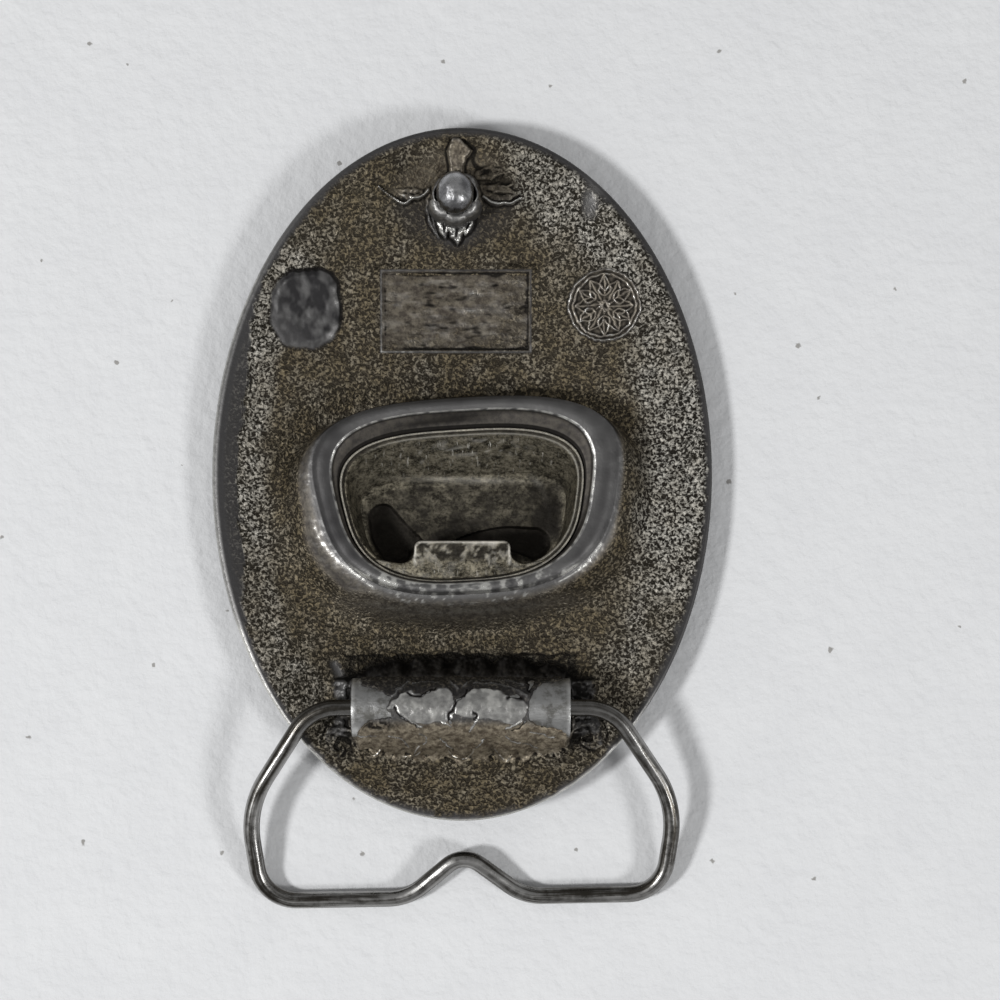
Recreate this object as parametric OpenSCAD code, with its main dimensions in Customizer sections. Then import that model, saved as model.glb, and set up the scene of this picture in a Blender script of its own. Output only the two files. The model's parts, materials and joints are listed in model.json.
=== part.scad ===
// Oval belt buckle with a bottle opener in its back, a ball-headed belt stud and a hinged wire bail.
// It lies face down: the front rests on z = 0 and the back, with everything on it, faces up.

/* [Plate] */
// Width of the oval plate
plate_w = 64; // [60:0.5:70]
// Length of the oval plate
plate_l = 88.3; // [86:0.1:94]
// Thickness of the plate
plate_t = 2.2; // [1.9:0.1:2.6]
// Radius that the front is domed to
dome_r = 220; // [190:10:320]
// Width of the flat in the middle of the front
flat_d = 30; // [26:1:34]

/* [Opener] */
// Width of the opener's mouth inside the rim
mouth_w = 32.3; // [31:0.1:33]
// Height of the opener's mouth inside the rim
mouth_h = 21.8; // [21:0.1:22.5]
// Top of the rim above the front
rim_z = 8.2; // [7.6:0.1:9]
// Slant of the mouth on the plate, in degrees
mouth_turn = 3.4; // [0:0.1:5]
// Width of the catch tongue
tongue_w = 12.2; // [10:0.2:14]
// Reach of the tongue past the notches beside it
tongue_reach = 2.85; // [2.6:0.05:3.2]
// Thickness of the tongue and its ledge
tongue_t = 1.8; // [1.4:0.1:2]

/* [Hinge] */
// Outer diameter of the hinge tube
tube_d = 7.4; // [7:0.1:7.6]
// Length of the hinge tube
tube_l = 27.4; // [26:0.1:29]
// Distance of the hinge axis from the middle of the plate
hinge_y = 29.8; // [29:0.1:30.5]
// Height of the hinge axis above the front
hinge_z = 8.7; // [8.4:0.1:9.2]

/* [Bail] */
// Diameter of the bail's wire
wire_d = 2.1; // [1.8:0.1:2.4]
// Half of the bail's width at its shoulders, to the wire's centre
bail_half_w = 27.2; // [26.5:0.1:28]
// Length of the bail from the hinge axis to the far wire's centre
bail_l = 25.5; // [25:0.1:27]
// Depth of the dip in the middle of the far wire, to its sharp corner
dip_depth = 6.1; // [5:0.1:6.5]
// How much further from the hinge the far wire's left end lies than its right end
bail_skew = 1; // [0:0.1:1.2]

/* [Belt stud] */
// Width of the stud's ball
ball_d = 4.7; // [4.4:0.1:5]
// Length of the stud's ball, along the buckle
ball_l = 5.4; // [5:0.1:5.6]
// Height of the ball's middle above the back of the plate
ball_h = 5.4; // [5:0.1:6]
// Distance of the stud from the middle of the plate
stud_y = 35.1; // [34:0.1:35.5]

/* [Hidden] */
// Points round each ring of the plate
ring_n = 60;
// Gap between pieces that are set into each other
seat_gap = 0.1;
// Radial running gap of the wire in the tube
run_gap = 0.07;
// Bent wire is swollen by this much, and straight wire reaches this far into a bend
bend_swell = 0.005;
bend_lap = 0.08;

edge_chamfer = 0.7;
edge_round = 0.5;
border_w = 2;
mouth_c = [0.33, -3.2];
mouth_top = 0.665;
mouth_low = 0.71;
mouth_taper = 0.124;
rim_extra = [5.6, 3.1];
rim_shift = [0.45, 0.1];
foot_size = [49.3, 31.3];
foot_c = [0.2, -5.5];
cup_size = [mouth_w - 2.1, mouth_h - 2.4];
cup_c = mouth_c + [-0.1, -1.1];
cup_rim_z = rim_z - 0.9;
cup_wall = 1;
cup_floor_size = [25, 12.4];
cup_floor_c = mouth_c + [0, -3.6];
cup_floor_z = 1.9;
notch_y = mouth_c.y - 8.4;
tongue_x = 0.1;
tongue_corner = 0.9;
tongue_fillet = 1.6;

flat_r = flat_d / 2;
tube_r = tube_d / 2;
wire_r = wire_d / 2;
bore_r = wire_r + run_gap;
end_gap = 0.4;
lap_t = 0.35;
lap_half_l = 6.5;
stud_c = [-0.8, stud_y];
neck_r = 1.25;
shank_depth = 1.3;
rest_gap = 0.05;
bail_angle = asin((hinge_z - wire_r - rest_gap) / (bail_l + bail_skew / 2));

function front(p) = max(0, (p.x * p.x + p.y * p.y - flat_r * flat_r) / (2 * dome_r));
function back(p) = front(p) + plate_t;
function mix(a, b, t) = a + (b - a) * t;
function ease(t) = t * t * (3 - 2 * t);
function unit(v) = v / norm(v);
function power(v, e) = sign(v) * pow(abs(v), e);

// A ring from an ellipse (squareness 1) to a rounded D (squareness below 1, taper above 0)
function oval(size, c = [0, 0], turn = 0, top = 1, low = 1, taper = 0) = [
    for (i = [0 : ring_n - 1])
        let (
            a = 360 * i / ring_n,
            e = sin(a) > 0 ? top : low,
            v = power(sin(a), e),
            u = power(cos(a), e) * (1 + taper * v),
            x = size.x / 2 * u,
            y = size.y / 2 * v
        )
        [c.x + x * cos(turn) - y * sin(turn), c.y + x * sin(turn) + y * cos(turn)]
];
function plate_oval(inset) = oval([plate_w - 2 * inset, plate_l - 2 * inset]);
function mouth_oval(extra, shift = [0, 0]) =
    oval([mouth_w, mouth_h] + extra, mouth_c + shift, mouth_turn, mouth_top, mouth_low, mouth_taper);
function cup_oval(grow) =
    oval(cup_size + [grow, grow] * 2, cup_c, mouth_turn, mouth_top, mouth_low, mouth_taper);
function cup_floor_oval(grow) =
    oval(cup_floor_size + [grow, grow] * 2, cup_floor_c, mouth_turn, 0.5, 0.75, 0.1);

function on_front(ring, h = 0) = [for (p = ring) [p.x, p.y, front(p) + h]];
function on_back(ring, h = 0) = [for (p = ring) [p.x, p.y, back(p) + h]];
function level(ring, z) = [for (p = ring) [p.x, p.y, z]];

// A closed solid through rings of equally many points, counter-clockwise seen from the last ring
module loft(rings, closed = false) {
    n = len(rings);
    m = len(rings[0]);
    sides = [
        for (j = [0 : n - (closed ? 1 : 2)], i = [0 : m - 1])
            let (k = (j + 1) % n, l = (i + 1) % m)
            [j * m + i, k * m + i, k * m + l, j * m + l]
    ];
    caps = closed ? [] : [[for (i = [0 : m - 1]) i], [for (i = [m - 1 : -1 : 0]) (n - 1) * m + i]];
    polyhedron([for (ring = rings) each ring], concat(sides, caps), convexity = 6);
}

// Sections of a raised rib or leaf along a path: side and height of each point, as shares
FLAT_SECTION = [[-1, -1], [-0.6, 1], [0.6, 1], [1, -1]];
LEAF_SECTION = [[-1, -1], [-1, 0.1], [-0.5, 1], [0, 0.45], [0.5, 1], [1, 0.1], [1, -1]];

// Direction of a path at one of its points
function along(path, j, closed) =
    let (
        n = len(path),
        before = closed ? (j + n - 1) % n : max(j - 1, 0),
        after = closed ? (j + 1) % n : min(j + 1, n - 1)
    )
    unit(path[after] - path[before]);
// curl bends the section round a cylinder of that radius; sink is how deep its edges go
function sections(path, widths, rise, section, up, sink, curl, closed = false) = [
    for (j = [0 : len(path) - 1])
        let (t = along(path, j, closed), side = unit(cross(t, up)), n = cross(side, t))
        [
            for (s = section)
                let (w = s.x * widths[j], h = s.y < 0 ? -sink : s.y * rise)
                path[j] + side * w + n * (h - w * w / (2 * curl))
        ]
];

// Stations along a leaf: share of its length, share of its width
LEAF = [[0, 0.45], [0.3, 1], [0.6, 0.9], [0.85, 0.5], [1, 0.08]];
LENS = [[0, 0.05], [0.2, 0.62], [0.5, 1], [0.8, 0.62], [1, 0.05]];

// A veined leaf from a to b; bend carries its middle sideways, arch lifts it
module leaf(a, b, w, rise, up = [0, 0, 1], bend = 0, arch = 0, shape = LEAF, sink = 0.6, curl = 1000) {
    side = unit(cross(b - a, up));
    path = [for (s = shape) mix(a, b, s[0]) + (side * bend + up * arch) * sin(180 * s[0])];
    loft(sections(path, [for (s = shape) s[1] * w], rise, LEAF_SECTION, up, sink, curl));
}
// The same leaf lying on the back of the plate
module back_leaf(a, b, w, rise, bend = 0) {
    d = unit(b - a);
    path = [
        for (s = LEAF)
            let (p = mix(a, b, s[0]) + [d.y, -d.x] * bend * sin(180 * s[0]))
            [p.x, p.y, back(p)]
    ];
    loft(sections(path, [for (s = LEAF) s[1] * w], rise, LEAF_SECTION, [0, 0, 1], 0.6, 1000));
}
// A raised line round a closed path on the back of the plate
module back_line(path, w, rise) {
    on = [for (p = path) [p.x, p.y, back(p)]];
    loft(sections(on, [for (p = path) w / 2], rise, FLAT_SECTION, [0, 0, 1], 0.3, 1000, true), true);
}

// The plate: from the front's flat out over its edge, in over the back, up the mound, and into the pocket
module plate_body() {
    flat = oval([flat_d, flat_d]);
    foot = oval(foot_size, foot_c, mouth_turn, 0.85, 0.85, 0.05);
    rim = mouth_oval(rim_extra, rim_shift);
    field = plate_oval(border_w + edge_chamfer);
    loft(concat(
        [level(flat, 0)],
        [for (t = [0.35, 0.7, 1]) on_front(mix(flat, plate_oval(edge_round), t))],
        [on_front(plate_oval(0), edge_round)],
        [on_back(plate_oval(0), -edge_chamfer)],
        [on_back(plate_oval(edge_chamfer))],
        [on_back(field)],
        [for (t = [0.3, 0.65, 1]) on_back(mix(field, foot, t), -0.1)],
        [
            for (t = [0.2, 0.4, 0.6, 0.8, 1])
                let (r = mix(foot, rim, t))
                [for (p = r) [p.x, p.y, mix(back(p), rim_z - 0.8, ease(t))]]
        ],
        [level(mouth_oval(rim_extra * 0.72, rim_shift * 0.72), rim_z - 0.18)],
        [level(mouth_oval(rim_extra * 0.42, rim_shift * 0.42), rim_z)],
        [level(mouth_oval([0.2, 0.2]), rim_z - 0.12)],
        [level(mouth_oval([-0.5, -0.5]), rim_z - 0.5)],
        [level(cup_oval(seat_gap), cup_rim_z - 0.1)],
        [level(cup_floor_oval(cup_wall + seat_gap), cup_floor_z - cup_wall - seat_gap)]
    ));
}

// Flat worn oval pad beside the label
module oval_pad() {
    c = [-20.1, 21.1];
    shape = [for (i = [0 : 23]) [8.3 / 2 * cos(15 * i), 9.6 / 2 * sin(15 * i)]];
    loft([
        for (s = [[1, -0.4], [1, 0.05], [0.86, 0.3]])
            [for (p = shape) let (q = c + p * s[0]) [q.x, q.y, back(q) + s[1]]]
    ]);
}

// Raised frame round the bare label
module label_frame() {
    c = [-0.8, 20.9];
    half = [9.6, 5.2];
    steps = [-1, -0.5, 0, 0.5];
    path = [
        for (s = steps) c + [half.x * s, -half.y],
        for (s = steps) c + [half.x, half.y * s],
        for (s = steps) c + [-half.x * s, half.y],
        for (s = steps) c + [-half.x, -half.y * s]
    ];
    back_line(path, 0.45, 0.28);
}

// Round seal: two rings and a plain rosette
module round_seal() {
    c = [18.3, 21.6];
    for (r = [4.35, 3.45])
        back_line([for (i = [0 : 27]) c + r * [cos(i * 360 / 28), sin(i * 360 / 28)]], 0.4, 0.25);
    for (a = [0 : 60 : 300])
        back_leaf(c + 0.5 * [cos(a), sin(a)], c + 3.2 * [cos(a), sin(a)], 0.75, 0.25);
}

// Leaves under the stud: angle, start, length, half-width, rise, sideways bend
STUD_LEAVES = [
    [90, 2.2, 6.1, 1.6, 0.75, 0],
    [66, 3, 4.4, 0.9, 0.5, -0.3],
    [114, 3, 4.4, 0.9, 0.5, 0.3],
    [270, 2, 3.9, 1.5, 0.8, 0],
    [240, 2.2, 3.2, 0.9, 0.6, 0.3],
    [300, 2.2, 3.2, 0.9, 0.6, -0.3],
    [190, 2.4, 4.6, 1.3, 0.7, 0.5],
    [167, 4.4, 5.4, 0.7, 0.5, 0.8],
    [352, 2.4, 5.8, 1.3, 0.7, -0.5],
    [15, 4, 3.4, 0.8, 0.5, 0.4]
];
module petal(top, size) {
    hull() {
        translate([2.2, 0, 0.3]) scale([0.9, 1.5, 1] * size) sphere(r = 0.8, $fn = 8);
        translate([2.85, 0, top]) scale([0.7, 1.5, 1] * size) sphere(r = 0.5, $fn = 8);
    }
}
module stud_leaves() {
    z = back(stud_c);
    for (s = STUD_LEAVES) {
        d = [cos(s[0]), sin(s[0])];
        back_leaf(stud_c + d * s[1], stud_c + d * (s[1] + s[2]), s[3], s[4], s[5]);
    }
    translate([stud_c.x, stud_c.y, z - 0.8])
        cylinder(r1 = 3.3, r2 = 2.2, h = 2.2, $fn = 24);
    for (i = [0 : 7])
        translate([stud_c.x, stud_c.y, z]) rotate(45 * i + 4)
            translate([abs(sin(45 * i + 4)) * (ball_l - ball_d) / 2, 0, 0])
                petal(i % 2 == 0 ? ball_h - 1.2 : ball_h - 2.6, i % 2 == 0 ? 1 : 0.75);
}

// Saddle that carries the tube: place along it, then its top as a share and how far its foot spreads
SADDLE = [
    [-16.6, 0, 0.5], [-14.5, 0.25, 0.85], [-12.1, 0.6, 1], [-8.3, 0.95, 1], [-0.3, 1, 1.04],
    [8.1, 0.97, 1], [12.4, 0.62, 1], [15.1, 0.25, 0.9], [17.6, 0, 0.5]
];
saddle_half = 7.1;
saddle_top = hinge_z - 0.4;
module saddle() {
    loft([
        for (s = SADDLE)
            let (
                near = -hinge_y - saddle_half * s[2],
                far = -hinge_y + saddle_half * s[2] * 0.92,
                low = back([s[0], -hinge_y]) - 0.7,
                top = mix(back([s[0], -hinge_y]) + 0.15, saddle_top, s[1]),
                mid = mix(back([s[0], -hinge_y]) + 0.1, saddle_top, s[1] * 0.45)
            )
            [
                [s[0], far, low],
                [s[0], mix(far, -hinge_y, 0.3), mid],
                [s[0], mix(far, -hinge_y, 0.5), top],
                [s[0], mix(near, -hinge_y, 0.5), top],
                [s[0], mix(near, -hinge_y, 0.3), mid],
                [s[0], near, low]
            ]
    ]);
}

// Leaves that drape from the tube to the plate: place along it, lean, half-width, side of the tube
DRAPES = [
    [-12, -2.2, 2, -1], [-8, -1.2, 2.3, -1], [-4, 1.2, 2, -1], [-0.4, -0.9, 2.3, -1],
    [3.4, 1.2, 2.1, -1], [7.6, -1, 2.3, -1], [11.8, 2.2, 2, -1],
    [-12.6, -2, 1.9, 1], [-8, 1, 2.5, 1], [-3, -0.8, 2.6, 1], [2.4, 0.9, 2.6, 1], [7.6, -1, 2.5, 1],
    [12.4, 1.8, 2, 1]
];
module drapes() {
    for (d = DRAPES) {
        reach = d[3] < 0 ? 7.7 : 6.9;
        foot = [d[0] + d[1], -hinge_y + d[3] * reach];
        leaf(
            [d[0], -hinge_y + d[3] * 3.6, mix(back([d[0], -hinge_y]), saddle_top, 0.8)],
            [foot.x, foot.y, back(foot) + 0.05],
            d[2], 0.55, unit([0, d[3] * 0.7, 1]), 0, 0.35
        );
    }
}

// Curled leaf ends at both sides of the saddle
module scroll(c, turn, way) {
    path = [
        for (i = [0 : 8])
            let (a = turn + way * i * 42, r = 2.3 - 0.2 * i, p = c + r * [cos(a), sin(a)])
            [p.x, p.y, back(p) + 0.1]
    ];
    loft(sections(path, [for (i = [0 : 8]) 0.75 - 0.045 * i], 0.55, LEAF_SECTION, [0, 0, 1], 0.6, 1000));
}

// Leaf tips that lap over the middle of the tube: start and end along it, place across it
LAPS = [[-9.8, 0.4, 0.4], [-0.2, 9.8, 0.1]];
module laps() {
    r = tube_r + lap_t;
    translate([-lap_half_l, -hinge_y, hinge_z]) rotate([0, 90, 0])
        cylinder(r = r, h = 2 * lap_half_l, $fn = 48);
    for (s = LAPS) {
        a = [s[0], -hinge_y + s[2], hinge_z + r];
        b = [s[1], -hinge_y + s[2], hinge_z + r];
        leaf(a, b, 3, 0.25, shape = LENS, sink = 0.5, curl = r);
    }
}

module plate_casting() {
    color("#6b6558") difference() {
        union() {
            plate_body();
            oval_pad();
            label_frame();
            round_seal();
            stud_leaves();
            saddle();
            drapes();
            scroll([-15.6, -35.2], 60, 1);
            scroll([16.2, -34.3], 120, -1);
            laps();
        }
        translate([0, -hinge_y, hinge_z]) rotate([0, 90, 0]) {
            rotate(2) cylinder(r = tube_r + seat_gap, h = tube_l + 2 * end_gap, center = true, $fn = 60);
            rotate(4) cylinder(r = wire_r + 0.6, h = tube_l + 9, center = true, $fn = 24);
        }
        translate([stud_c.x, stud_c.y, back(stud_c) - shank_depth - seat_gap])
            cylinder(r = neck_r + seat_gap, h = 20, $fn = 32);
    }
}

function arc(c, r, from, to, n) =
    [for (i = [0 : n]) let (a = mix(from, to, i / n)) c + r * [cos(a), sin(a)]];

// The ledge that the cap catches on, with its tongue standing out between two notches
module ledge_outline() {
    right = tongue_x + tongue_w / 2;
    left = tongue_x - tongue_w / 2;
    top = notch_y + tongue_reach;
    polygon(concat(
        [[-plate_w, -plate_w], [plate_w, -plate_w], [plate_w, notch_y]],
        arc([right + tongue_fillet, notch_y + tongue_fillet], tongue_fillet, 270, 180, 5),
        arc([right - tongue_corner, top - tongue_corner], tongue_corner, 0, 90, 4),
        arc([left + tongue_corner, top - tongue_corner], tongue_corner, 90, 180, 4),
        arc([left - tongue_fillet, notch_y + tongue_fillet], tongue_fillet, 0, -90, 5),
        [[-plate_w, notch_y]]
    ));
}

// The pressed cup: a sloping shell with a floor, and the ledge across its low side
module opener_cup() {
    color("#565045") union() {
        loft([
            level(cup_floor_oval(cup_wall), cup_floor_z - cup_wall),
            level(cup_oval(0), cup_rim_z),
            level(cup_oval(-0.7), cup_rim_z),
            level(cup_floor_oval(0), cup_floor_z)
        ]);
        intersection() {
            loft([
                level(cup_floor_oval(cup_wall * 0.5), cup_floor_z - cup_wall * 0.5),
                level(cup_oval(-0.35), cup_rim_z - 0.1)
            ]);
            translate([0, 0, cup_rim_z - tongue_t - 0.2]) linear_extrude(tongue_t)
                ledge_outline();
        }
    }
}

module hinge_tube() {
    color("#a9a9a6") translate([0, -hinge_y, hinge_z]) rotate([0, 90, 0])
        difference() {
            cylinder(r = tube_r, h = tube_l, center = true, $fn = 96);
            cylinder(r = bore_r, h = tube_l + 2, center = true, $fn = 64);
        }
}

// Oblong ball, turned about its long axis, on a straight neck with a shank set into the plate
module belt_stud() {
    r = ball_d / 2;
    half = (ball_l - ball_d) / 2;
    color("#b4b4b1") translate([stud_c.x, stud_c.y, back(stud_c)]) union() {
        translate([0, 0, -shank_depth]) cylinder(r = neck_r, h = ball_h + shank_depth, $fn = 32);
        translate([0, 0, ball_h]) rotate([90, 0, 0]) rotate_extrude($fn = 40)
            polygon(concat(arc([0, half], r, 90, 0, 10), arc([0, -half], r, 0, -90, 10)));
    }
}

// Corners of the bail, from the tube's right end round to its left end: across, away from the axis, radius
far_x = bail_half_w - 1.7;
BAIL_CORNERS = [
    [bail_half_w - 8.3, 0, 6], [bail_half_w, 13.1, 13], [far_x, bail_l, 5], [7.9, bail_l, 7],
    [0.2, bail_l - dip_depth, 3.1],
    [-6.9, bail_l, 7], [-far_x, bail_l, 5], [-bail_half_w, 13.1, 13], [8.3 - bail_half_w, 0, 6]
];
bail_start = 4.5;
function skewed(c) = [c.x, c.y * (1 - bail_skew / 2 / bail_l * c.x / far_x)];
bail_line = concat([[bail_start, 0]], [for (c = BAIL_CORNERS) skewed(c)], [[-bail_start, 0]]);
bail_radii = concat([0], [for (c = BAIL_CORNERS) c[2]], [0]);
function heading(v) = atan2(v.y, v.x);
function turn_at(i) =
    let (d = heading(bail_line[i + 1] - bail_line[i]) - heading(bail_line[i] - bail_line[i - 1]))
    d > 180 ? d - 360 : d < -180 ? d + 360 : d;
// How far a corner's arc starts before the corner
function setback(i) = i == 0 || i == len(bail_line) - 1 ? 0 : bail_radii[i] * tan(abs(turn_at(i)) / 2);

// Round wire along the bail's line, bent by true arcs
module bail() {
    color("#8f9090") translate([0, -hinge_y, hinge_z]) rotate([bail_angle, 0, 0]) mirror([0, 1, 0]) {
        for (i = [0 : len(bail_line) - 2]) {
            d = bail_line[i + 1] - bail_line[i];
            from = setback(i) - (i > 0 ? bend_lap : 0);
            to = norm(d) - setback(i + 1) + (i < len(bail_line) - 2 ? bend_lap : 0);
            start = bail_line[i] + unit(d) * from;
            translate([start.x, start.y, 0]) rotate(heading(d)) rotate([0, 90, 0])
                cylinder(r = wire_r, h = to - from, $fn = 32);
        }
        for (i = [1 : len(bail_line) - 2]) {
            way = turn_at(i) > 0 ? 1 : -1;
            from = heading(bail_line[i] - bail_line[i - 1]);
            d = unit(bail_line[i] - bail_line[i - 1]);
            c = bail_line[i] - d * setback(i) + [-d.y, d.x] * way * bail_radii[i];
            translate([c.x, c.y, 0]) rotate(way > 0 ? from - 90 : from + 90 + turn_at(i))
                rotate_extrude(angle = abs(turn_at(i)), $fn = 96)
                    translate([bail_radii[i], 0]) circle(r = wire_r + bend_swell, $fn = 32);
        }
    }
}

plate_casting();
opener_cup();
hinge_tube();
belt_stud();
bail();
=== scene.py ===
"""Looks of an oval cast belt buckle that lies face down, with a bottle opener in its back.

The back faces up (+Z), the belt stud is towards +Y and the wire bail towards -Y. Sizes and
places are in millimetres, in the part's own frame, and each mesh is brought to metres when
it is finished. The casting is built from one shell and a few finer patches of relief that
sink into it at their borders, all with the same finish.
"""

import json
import logging
import math
from dataclasses import dataclass
from enum import Enum
from functools import partial
from typing import Callable, Sequence

import bmesh
import bpy
import numpy as np
from bmesh.types import BMEdge, BMesh, BMVert
from bpy.types import ID, Material, Mesh, Node, NodeTree, Object
from mathutils import Matrix, Vector, noise


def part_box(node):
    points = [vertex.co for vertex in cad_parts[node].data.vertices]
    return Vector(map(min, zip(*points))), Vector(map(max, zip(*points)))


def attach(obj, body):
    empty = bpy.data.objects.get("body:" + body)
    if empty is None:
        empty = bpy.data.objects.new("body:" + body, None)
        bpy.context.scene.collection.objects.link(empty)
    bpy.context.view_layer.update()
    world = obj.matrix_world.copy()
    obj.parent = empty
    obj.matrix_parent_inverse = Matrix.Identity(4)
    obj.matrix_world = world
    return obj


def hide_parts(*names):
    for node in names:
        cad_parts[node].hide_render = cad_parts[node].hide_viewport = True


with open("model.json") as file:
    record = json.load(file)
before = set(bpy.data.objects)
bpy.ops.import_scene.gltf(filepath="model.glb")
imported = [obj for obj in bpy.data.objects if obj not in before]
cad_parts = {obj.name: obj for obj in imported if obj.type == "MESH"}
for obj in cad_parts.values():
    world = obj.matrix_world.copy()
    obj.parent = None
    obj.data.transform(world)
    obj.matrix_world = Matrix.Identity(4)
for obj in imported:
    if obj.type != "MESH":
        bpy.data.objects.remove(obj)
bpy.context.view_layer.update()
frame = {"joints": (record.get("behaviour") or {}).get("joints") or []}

LOG = logging.getLogger("buckle")
MM = 0.001
SAME_PLACE = 1e-4
BUCKLE = "buckle"
BAIL_BODY = "bail_loop"
TURN = 2 * math.pi
Points = np.ndarray
Both = tuple[Points, Points]
Pair = tuple[float, float]


def clamp(value: Points | float) -> Points:
    """Value held between 0 and 1."""
    return np.clip(value, 0, 1)


def ease(t: Points | float) -> Points:
    """Smooth step from 0 to 1 as t goes from 0 to 1."""
    t = clamp(t)
    return t * t * (3 - 2 * t)


def between(value: Points | float, low: float, high: float) -> Points:
    """Smooth step from 0 at low to 1 at high, which may lie below low."""
    return ease((np.asarray(value, float) - low) / (high - low))


def mix(a: Points | float, b: Points | float, t: Points | float) -> Points:
    """Value at share t of the way from a to b."""
    return a + (b - a) * t


def bell(distance: Points, width: float) -> Points:
    """Rounded ridge profile: 1 at no distance, fading out past width."""
    return np.exp(-((distance / width) ** 2))


def spot(x: Points, y: Points, place: Pair, size: Pair) -> Points:
    """Soft oval spot: 1 in its middle, fading out past its half-width and half-length."""
    return bell(np.hypot((x - place[0]) / size[0], (y - place[1]) / size[1]), 1)


def wander(x: Points, y: Points, pitch: float, seed: int) -> Points:
    """Smooth uneven field between about -1 and 1, the same on every run.

    Args:
        x: Places across, in millimetres.
        y: Places along, in millimetres.
        pitch: Rough distance between its hills, in millimetres.
        seed: Number that picks one field.

    Returns:
        One value for each place.
    """
    total = np.zeros_like(np.asarray(x, float))
    for i in range(7):
        turn = 2.4 * i + 0.7 * seed
        wave = TURN / pitch * (0.6 + 0.17 * i)
        across = x * math.cos(turn) + y * math.sin(turn)
        along = y * math.cos(turn) - x * math.sin(turn)
        total += np.sin(wave * across + 1.3 * np.sin(0.6 * wave * along + seed) + 1.9 * i)
    return total / 4


def crumb(x: Points, y: Points, pitch: float, seed: int) -> Points:
    """Rough field like that of wander, but with no pattern to it, for cast grit and scuffs."""
    places = zip((np.asarray(x) / pitch).tolist(), (np.asarray(y) / pitch).tolist())
    return 1.5 * np.array([noise.fractal((a, b, 7.3 * seed), 0.7, 2.0, 3) for a, b in places])


def node_box(node: str) -> tuple[Vector, Vector]:
    """Lowest and highest corner of a solid of the part, in millimetres."""
    low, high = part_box(node)
    return low / MM, high / MM


STUD_LOW, STUD_HIGH = node_box("belt_stud")
STUD_X, STUD_Y = (STUD_LOW.x + STUD_HIGH.x) / 2, (STUD_LOW.y + STUD_HIGH.y) / 2


@dataclass(frozen=True)
class Oval:
    """A closed ring from an ellipse to a rounded D.

    Top and low are the squareness of its halves, 1 for an ellipse. Taper is how much wider its
    top is, as a share, and turn its slant in degrees.
    """

    width: float
    length: float
    centre: Pair = (0.0, 0.0)
    turn: float = 0.0
    top: float = 1.0
    low: float = 1.0
    taper: float = 0.0

    def ring(self, count: int) -> Points:
        """Points of the ring, counter-clockwise, as an array of count rows."""
        angle = np.arange(count) * TURN / count
        rise, run = np.sin(angle), np.cos(angle)
        power = np.where(rise > 0, self.top, self.low)
        v = np.sign(rise) * np.abs(rise) ** power
        u = np.sign(run) * np.abs(run) ** power * (1 + self.taper * v)
        x, y = self.width / 2 * u, self.length / 2 * v
        c, s = math.cos(math.radians(self.turn)), math.sin(math.radians(self.turn))
        return np.stack([self.centre[0] + x * c - y * s, self.centre[1] + x * s + y * c], 1)

    def grown(self, dx: float, dy: float, shift: Pair = (0, 0)) -> "Oval":
        """The same oval, wider by dx, longer by dy and moved by shift."""
        centre = (self.centre[0] + shift[0], self.centre[1] + shift[1])
        return Oval(self.width + dx, self.length + dy, centre, self.turn, self.top, self.low, self.taper)


def level(ring: Points, z: Points | float) -> Points:
    """A flat ring of (x, y) rows lifted to z."""
    return np.column_stack([ring, np.broadcast_to(z, len(ring))])


def through(keys: Sequence[Points], steps: int) -> list[Points]:
    """Rings along a smooth curve through key rings, the first key left out.

    Args:
        keys: Key rings of equally many points.
        steps: Rings made for each stretch between two keys.

    Returns:
        The rings, ending with the last key.
    """
    out = []
    for i in range(len(keys) - 1):
        p0, p1 = keys[max(i - 1, 0)], keys[i]
        p2, p3 = keys[i + 1], keys[min(i + 2, len(keys) - 1)]
        for step in range(1, steps + 1):
            t = step / steps
            out.append(
                0.5
                * (
                    2 * p1
                    + (p2 - p0) * t
                    + (2 * p0 - 5 * p1 + 4 * p2 - p3) * t**2
                    + (3 * p1 - p0 - 3 * p2 + p3) * t**3
                )
            )
    return out


def extruded(bm: BMesh, edges: Sequence[BMEdge]) -> tuple[list[BMVert], list[BMEdge]]:
    """Extrudes edges; gives the new vertices, and the new edges between them."""
    made = bmesh.ops.extrude_edge_only(bm, edges=edges)["geom"]
    verts = [v for v in made if isinstance(v, BMVert)]
    fresh = set(verts)
    return verts, [e for e in made if isinstance(e, BMEdge) and set(e.verts) <= fresh]


class Shell:
    """A skin of quads grown ring by ring from one circle."""

    def __init__(self, first: Points) -> None:
        """Lays the first ring.

        Args:
            first: Rows of x, y and z.
        """
        self.bm = bmesh.new()
        self.station = self.bm.verts.layers.int.new("station")
        self.ring = self.bm.verts.layers.int.new("ring")
        made = bmesh.ops.create_circle(self.bm, cap_ends=False, segments=len(first), radius=1)
        for i, vert in enumerate(made["verts"]):
            vert[self.station] = i
        self.edges = list(self.bm.edges)
        self.count = 0
        self._place(made["verts"], first)

    def _place(self, verts: Sequence[BMVert], ring: Points) -> None:
        """Moves a loop of vertices onto a ring and numbers it."""
        for vert in verts:
            vert.co = ring[vert[self.station]]
            vert[self.ring] = self.count
        self.count += 1

    def grow(self, rings: Sequence[Points]) -> "Shell":
        """Extrudes the open loop through each ring in turn."""
        for ring in rings:
            verts, self.edges = extruded(self.bm, self.edges)
            self._place(verts, ring)
        return self

    def close(self) -> "Shell":
        """Fills the first ring and the last one."""
        rim = [e for e in self.bm.edges if e.is_boundary]
        bmesh.ops.holes_fill(self.bm, edges=rim, sides=0)
        return self

    def weld(self) -> "Shell":
        """Joins the last ring to the first, where both lie in the same place."""
        bmesh.ops.remove_doubles(self.bm, verts=self.bm.verts[:], dist=SAME_PLACE)
        return self


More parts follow.
